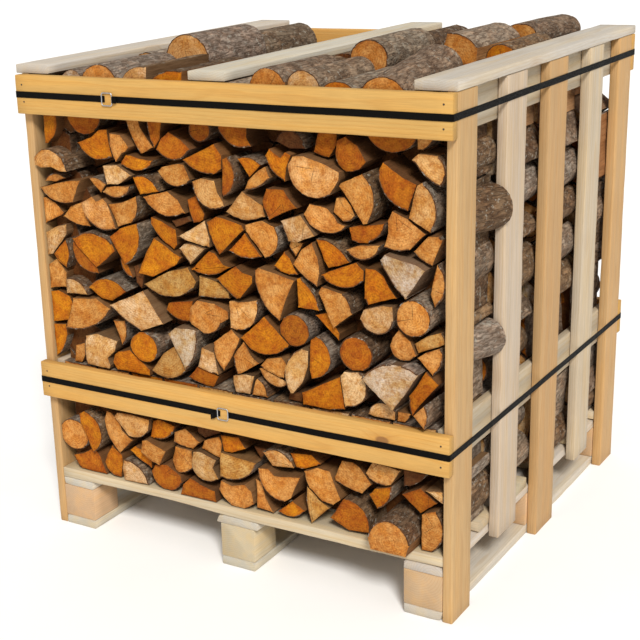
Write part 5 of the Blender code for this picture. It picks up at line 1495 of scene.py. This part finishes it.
def end_grain_skin():
    """A sawn log end: rings round the heart, two drying cracks, saw marks and stained patches."""
    skin = Skin("log end grain")
    place = skin.attribute("place").outputs["Vector"]
    tone = skin.attribute("tone")
    x, z, seed = skin.split(place)
    warp = skin.noise(place, 26.0)
    radius = skin.calc("SQRT", skin.calc("MULTIPLY_ADD", x, x, skin.times(z, z)))
    radius = skin.calc("MULTIPLY_ADD", warp, 0.010, radius)
    ring = skin.calc("FRACT", skin.times(radius, 1 / RING_PITCH))
    late = skin.curve(ring, (0.0, 0.0), (0.5, 0.12), (0.88, 1.0), (1.0, 0.1))
    ring_share = skin.curve(skin.noise(place, 14.0), (0.35, 0.15), (0.62, 0.80))
    blotch = skin.curve(skin.noise(place, 34.0, 4.0, 0.6), (0.42, 0.0), (0.60, 1.0))
    fresh = skin.curve(skin.noise(skin.vector(z, x, seed), 24.0, 3.0), (0.47, 0.0), (0.62, 0.9))
    speck = skin.noise(place, 300.0, 4.0, 0.75)
    grime = skin.curve(skin.noise(place, 110.0, 4.0, 0.65), (0.46, 0.0), (0.66, 1.0))
    pith = skin.curve(skin.times(radius, 100.0), (0.45, 0.7), (0.75, 0.0))
    saw_turn = skin.times(seed, 5.3)
    saw_cosine = skin.calc("COSINE", saw_turn)
    saw_run = skin.calc("MULTIPLY_ADD", x, saw_cosine, skin.times(z, skin.calc("SINE", saw_turn)))
    saw_run = skin.calc("MULTIPLY_ADD", warp, 0.004, saw_run)
    saw = skin.calc("SINE", skin.times(saw_run, 2 * math.pi / SAW_PITCH))
    colour = tone.outputs["Color"]
    colour = skin.stain(fresh, colour, FRESH_CUT)
    colour = skin.stain(blotch, colour, DARKENED)
    colour = skin.stain(skin.times(late, ring_share), colour, LATE_WOOD)
    shade = skin.curve(speck, (0.30, 0.58), (0.5, 1.02), (0.72, 1.28))
    colour = skin.tint(colour, shade)
    colour = skin.stain(skin.times(grime, 0.85), colour, SAW_GRIME)
    colour = skin.stain(pith, colour, PITH)
    rim_share = skin.curve(skin.noise(place, 45.0), (0.35, 0.15), (0.7, 0.75))
    rim = skin.times(tone.outputs["Alpha"], rim_share)
    colour = skin.stain(rim, colour, END_RIM)
    cracks = drying_cracks(skin, x, z, seed, warp)
    colour = skin.mix(skin.times(cracks, 0.45), colour, CRACK)
    height = skin.calc("MULTIPLY_ADD", saw, 0.10, skin.times(late, 0.18))
    height = skin.calc("MULTIPLY_ADD", speck, 0.7, height)
    height = skin.calc("SUBTRACT", height, skin.times(cracks, 1.6))
    rough = skin.curve(speck, (0.3, 0.92), (0.7, 0.74))
    return skin.finish(colour, rough, height, 0.0010, 0.8)


def split_face_skin():
    """A face split along the grain: long torn fibres."""
    skin = Skin("log split face")
    place = skin.attribute("place").outputs["Vector"]
    tone = skin.attribute("tone").outputs["Color"]
    across, along, seed = skin.split(place)
    fibre = skin.noise(skin.vector(across, skin.times(along, 0.05), seed), 520.0, 3.0, 0.7)
    streak = skin.noise(skin.vector(across, skin.times(along, 0.10), seed), 90.0, 3.0)
    patch = skin.curve(skin.noise(place, 16.0, 3.0), (0.35, 0.0), (0.7, 1.0))
    colour = skin.stain(skin.times(patch, 0.5), tone, SPLIT_PATCH)
    colour = skin.tint(colour, skin.curve(fibre, (0.28, 0.66), (0.5, 0.96), (0.75, 1.16)))
    colour = skin.stain(skin.curve(streak, (0.45, 0.0), (0.75, 0.6)), colour, SPLIT_STREAK)
    height = skin.calc("MULTIPLY_ADD", streak, 1.6, fibre)
    return skin.finish(colour, skin.curve(fibre, (0.3, 0.9), (0.7, 0.72)), height, 0.0016, 0.9)


def bark_skin():
    """Bark with lengthwise furrows darkened, partly the bark's own colour and partly painted shade, ridges
    bleached pale, browner patches and lichen.
    """
    skin = Skin("log bark")
    place = skin.attribute("place").outputs["Vector"]
    tone = skin.attribute("tone").outputs["Color"]
    across, along, seed = skin.split(place)
    run = skin.vector(across, skin.times(along, 0.24), seed)
    wander = skin.noise(run, 85.0, 4.0, 0.62)
    ridge = skin.calc("ABSOLUTE", skin.calc("SUBTRACT", wander, 0.5))
    furrow = skin.curve(ridge, (0.0, 0.0), (0.035, 0.6), (0.12, 1.0))
    grain = skin.noise(run, 330.0, 4.0, 0.7)
    patch = skin.noise(place, 26.0, 4.0, 0.6)
    pale = skin.noise(skin.vector(across, skin.times(along, 0.6), seed), 48.0, 4.0, 0.65)
    lichen = skin.curve(skin.noise(place, 80.0, 3.0, 0.7), (0.58, 0.0), (0.68, 0.7))
    colour = skin.tint(tone, skin.curve(grain, (0.25, 0.62), (0.5, 1.0), (0.8, 1.40)))
    colour = skin.stain(skin.curve(patch, (0.42, 0.0), (0.68, 0.7)), colour, BROWN_BARK)
    colour = skin.stain(skin.curve(pale, (0.48, 0.0), (0.62, 0.9)), colour, BLEACHED_BARK)
    # Darker in the furrows: partly the bark's own darker colour, partly painted shade
    colour = skin.stain(skin.calc("SUBTRACT", 1.0, furrow), colour, FURROW_STAIN_AND_SHADE)
    colour = skin.mix(lichen, colour, LICHEN)
    height = skin.calc("MULTIPLY_ADD", furrow, 0.8, skin.calc("MULTIPLY_ADD", pale, 1.4, grain))
    return skin.finish(colour, 0.92, height, 0.0022, 0.9)


def pine_skin():
    """Sawn softwood: rings of a trunk whose heart lies off the board, fine fibres and scattered knots."""
    skin = Skin("sawn pine")
    place = skin.attribute("place").outputs["Vector"]
    tone = skin.attribute("tone")
    along, across, deep = skin.split(place)
    slow = skin.vector(skin.times(along, 0.16), across, deep)
    warp = skin.noise(slow, 13.0, 2.0)
    knot_place = skin.vector(skin.times(along, 0.55), across, deep)
    knot_far, knot_colour = skin.cells(knot_place, 7.5)
    knotted = skin.calc("GREATER_THAN", skin.split(knot_colour)[0], KNOT_SHARE)
    knot_here = skin.times(skin.curve(knot_far, (0.05, 1.0), (0.075, 0.0)), knotted)
    halo = skin.times(skin.curve(knot_far, (0.06, 1.0), (0.22, 0.0)), knotted)
    radius = skin.calc("SQRT", skin.calc("MULTIPLY_ADD", across, across, skin.times(deep, deep)))
    radius = skin.calc("MULTIPLY_ADD", warp, 0.022, radius)
    radius = skin.calc("MULTIPLY_ADD", halo, 0.008, radius)
    ring = skin.calc("FRACT", skin.times(radius, 1 / PINE_RING_PITCH))
    late = skin.curve(ring, (0.0, 0.0), (0.55, 0.15), (0.9, 1.0), (1.0, 0.0))
    fibre = skin.noise(skin.vector(skin.times(along, 0.03), across, deep), 750.0, 2.0, 0.6)
    patch = skin.noise(skin.vector(skin.times(along, 0.5), across, deep), 9.0, 3.0)
    band = skin.noise(skin.vector(skin.times(along, 0.08), across, deep), 42.0, 2.0)
    colour = tone.outputs["Color"]
    colour = skin.stain(skin.curve(band, (0.38, 0.7), (0.50, 0.0)), colour, YELLOW_BAND)
    colour = skin.stain(skin.curve(band, (0.50, 0.0), (0.62, 0.7)), colour, PALE_BAND)
    colour = skin.stain(skin.times(late, 0.36), colour, PINE_LATE_WOOD)
    colour = skin.tint(colour, skin.curve(fibre, (0.3, 0.90), (0.7, 1.05)))
    colour = skin.stain(skin.curve(patch, (0.42, 0.0), (0.75, 0.5)), colour, PINE_PATCH)
    colour = skin.stain(skin.times(halo, 0.35), colour, KNOT_HALO)
    colour = skin.mix(skin.times(knot_here, 0.75), colour, KNOT)
    height = skin.calc("MULTIPLY_ADD", late, 0.35, skin.times(fibre, 0.6))
    return skin.finish(colour, skin.curve(fibre, (0.3, 0.72), (0.7, 0.55)), height, 0.0005, 0.8)


def strap_skin():
    """Black plastic band with a pressed diamond pattern."""
    skin = Skin("black strap")
    place = skin.attribute("place").outputs["Vector"]
    along, across, _ = skin.split(place)
    lines = []
    for sign in (1.0, -1.0):
        run = skin.calc("MULTIPLY_ADD", across, sign, along)
        lines.append(skin.calc("SINE", skin.times(run, 2 * math.pi / DIAMOND_PITCH)))
    height = skin.calc("MAXIMUM", *lines)
    skin.shader.inputs["Specular IOR Level"].default_value = 0.06
    scuff = skin.noise(place, 200.0, 3.0)
    colour = skin.mix(skin.curve(scuff, (0.5, 0.0), (0.8, 0.5)), STRAP_BLACK, STRAP_SCUFF)
    return skin.finish(colour, skin.curve(scuff, (0.3, 0.45), (0.7, 0.7)), height, 0.0003, 0.7)


def wire_skin(name, colour, roughness):
    skin = Skin(name)
    place = skin.node("ShaderNodeTexCoord").outputs["Object"]
    dull = skin.noise(place, 600.0, 3.0)
    tint = skin.mix(skin.curve(dull, (0.4, 0.0), (0.7, 0.7)), colour, tuple(value * 0.55 for value in colour))
    skin.shader.inputs["Metallic"].default_value = 1.0
    return skin.finish(tint, skin.curve(dull, (0.3, roughness), (0.7, roughness + 0.25)), dull, 0.0002, 0.5)


def floor_skin():
    skin = Skin("pale floor")
    place = skin.node("ShaderNodeTexCoord").outputs["Object"]
    cloud = skin.noise(place, 3.0, 3.0)
    return skin.finish(skin.mix(cloud, srgb(247, 246, 244), srgb(252, 251, 250)), 0.9)


# The studio: camera at the photograph's angle, a pale floor, a broad soft key light from the front right
CAMERA_PLACE = (1.5674, -2.8453, 1.4724)
CAMERA_TURN = (71.5369, 2.3279, 32.9729)
CAMERA_LENS = 75.949
CAMERA_SHIFT = (0.1348, 0.0437)
FLOOR_REACH = 80.0
FLOOR_DROP = 0.0005
SKY_LIGHT = 0.52
KEY_LIGHT = 3.3
KEY_WIDTH = 14.0
KEY_COLOUR = (1.0, 0.985, 0.96)
KEY_DIRECTION = (-0.47, 0.60, -0.645)


def studio():
    bpy.context.scene.view_settings.view_transform = "Standard"
    world = bpy.data.worlds.new("studio")
    world.use_nodes = True
    back = world.node_tree.nodes["Background"]
    back.inputs["Color"].default_value = (1.0, 1.0, 1.0, 1.0)
    back.inputs["Strength"].default_value = SKY_LIGHT
    bpy.context.scene.world = world
    floor_mesh = bpy.data.meshes.new("floor")
    corners = [(sx * FLOOR_REACH, sy * FLOOR_REACH, 0.0) for sx, sy in ((-1, -1), (1, -1), (1, 1), (-1, 1))]
    floor_mesh.from_pydata(corners, [], [(0, 1, 2, 3)])
    floor_mesh.materials.append(floor_skin())
    floor = bpy.data.objects.new("floor", floor_mesh)
    floor.location.z = -FLOOR_DROP
    bpy.context.scene.collection.objects.link(floor)
    key = bpy.data.lights.new("key", "SUN")
    key.energy = KEY_LIGHT
    key.angle = math.radians(KEY_WIDTH)
    key.color = KEY_COLOUR
    lamp = bpy.data.objects.new("key", key)
    lamp.rotation_euler = Vector(KEY_DIRECTION).to_track_quat("-Z", "Y").to_euler()
    bpy.context.scene.collection.objects.link(lamp)
    camera = bpy.data.cameras.new("camera")
    camera.lens = CAMERA_LENS
    camera.shift_x, camera.shift_y = CAMERA_SHIFT
    camera.clip_end = 100.0
    obj = bpy.data.objects.new("camera", camera)
    obj.location = CAMERA_PLACE
    obj.rotation_euler = Euler([math.radians(angle) for angle in CAMERA_TURN])
    bpy.context.scene.collection.objects.link(obj)
    bpy.context.scene.camera = obj


studio()
log_skins = (end_grain_skin(), split_face_skin(), bark_skin())
band_skin = strap_skin()
for row_number in range(LAST_ROW + 1):
    firewood_row(row_number, log_skins)
loose_logs(log_skins)
boards((pine_skin(),))
galvanised = wire_skin("galvanised wire", srgb(196, 198, 200), 0.3)
for level_name in STRAP_HEIGHTS:
    strap(level_name, (band_skin,))
    strap_tail(level_name, band_skin)
    buckle(level_name, galvanised)
nails(wire_skin("nail steel", srgb(96, 84, 74), 0.5))
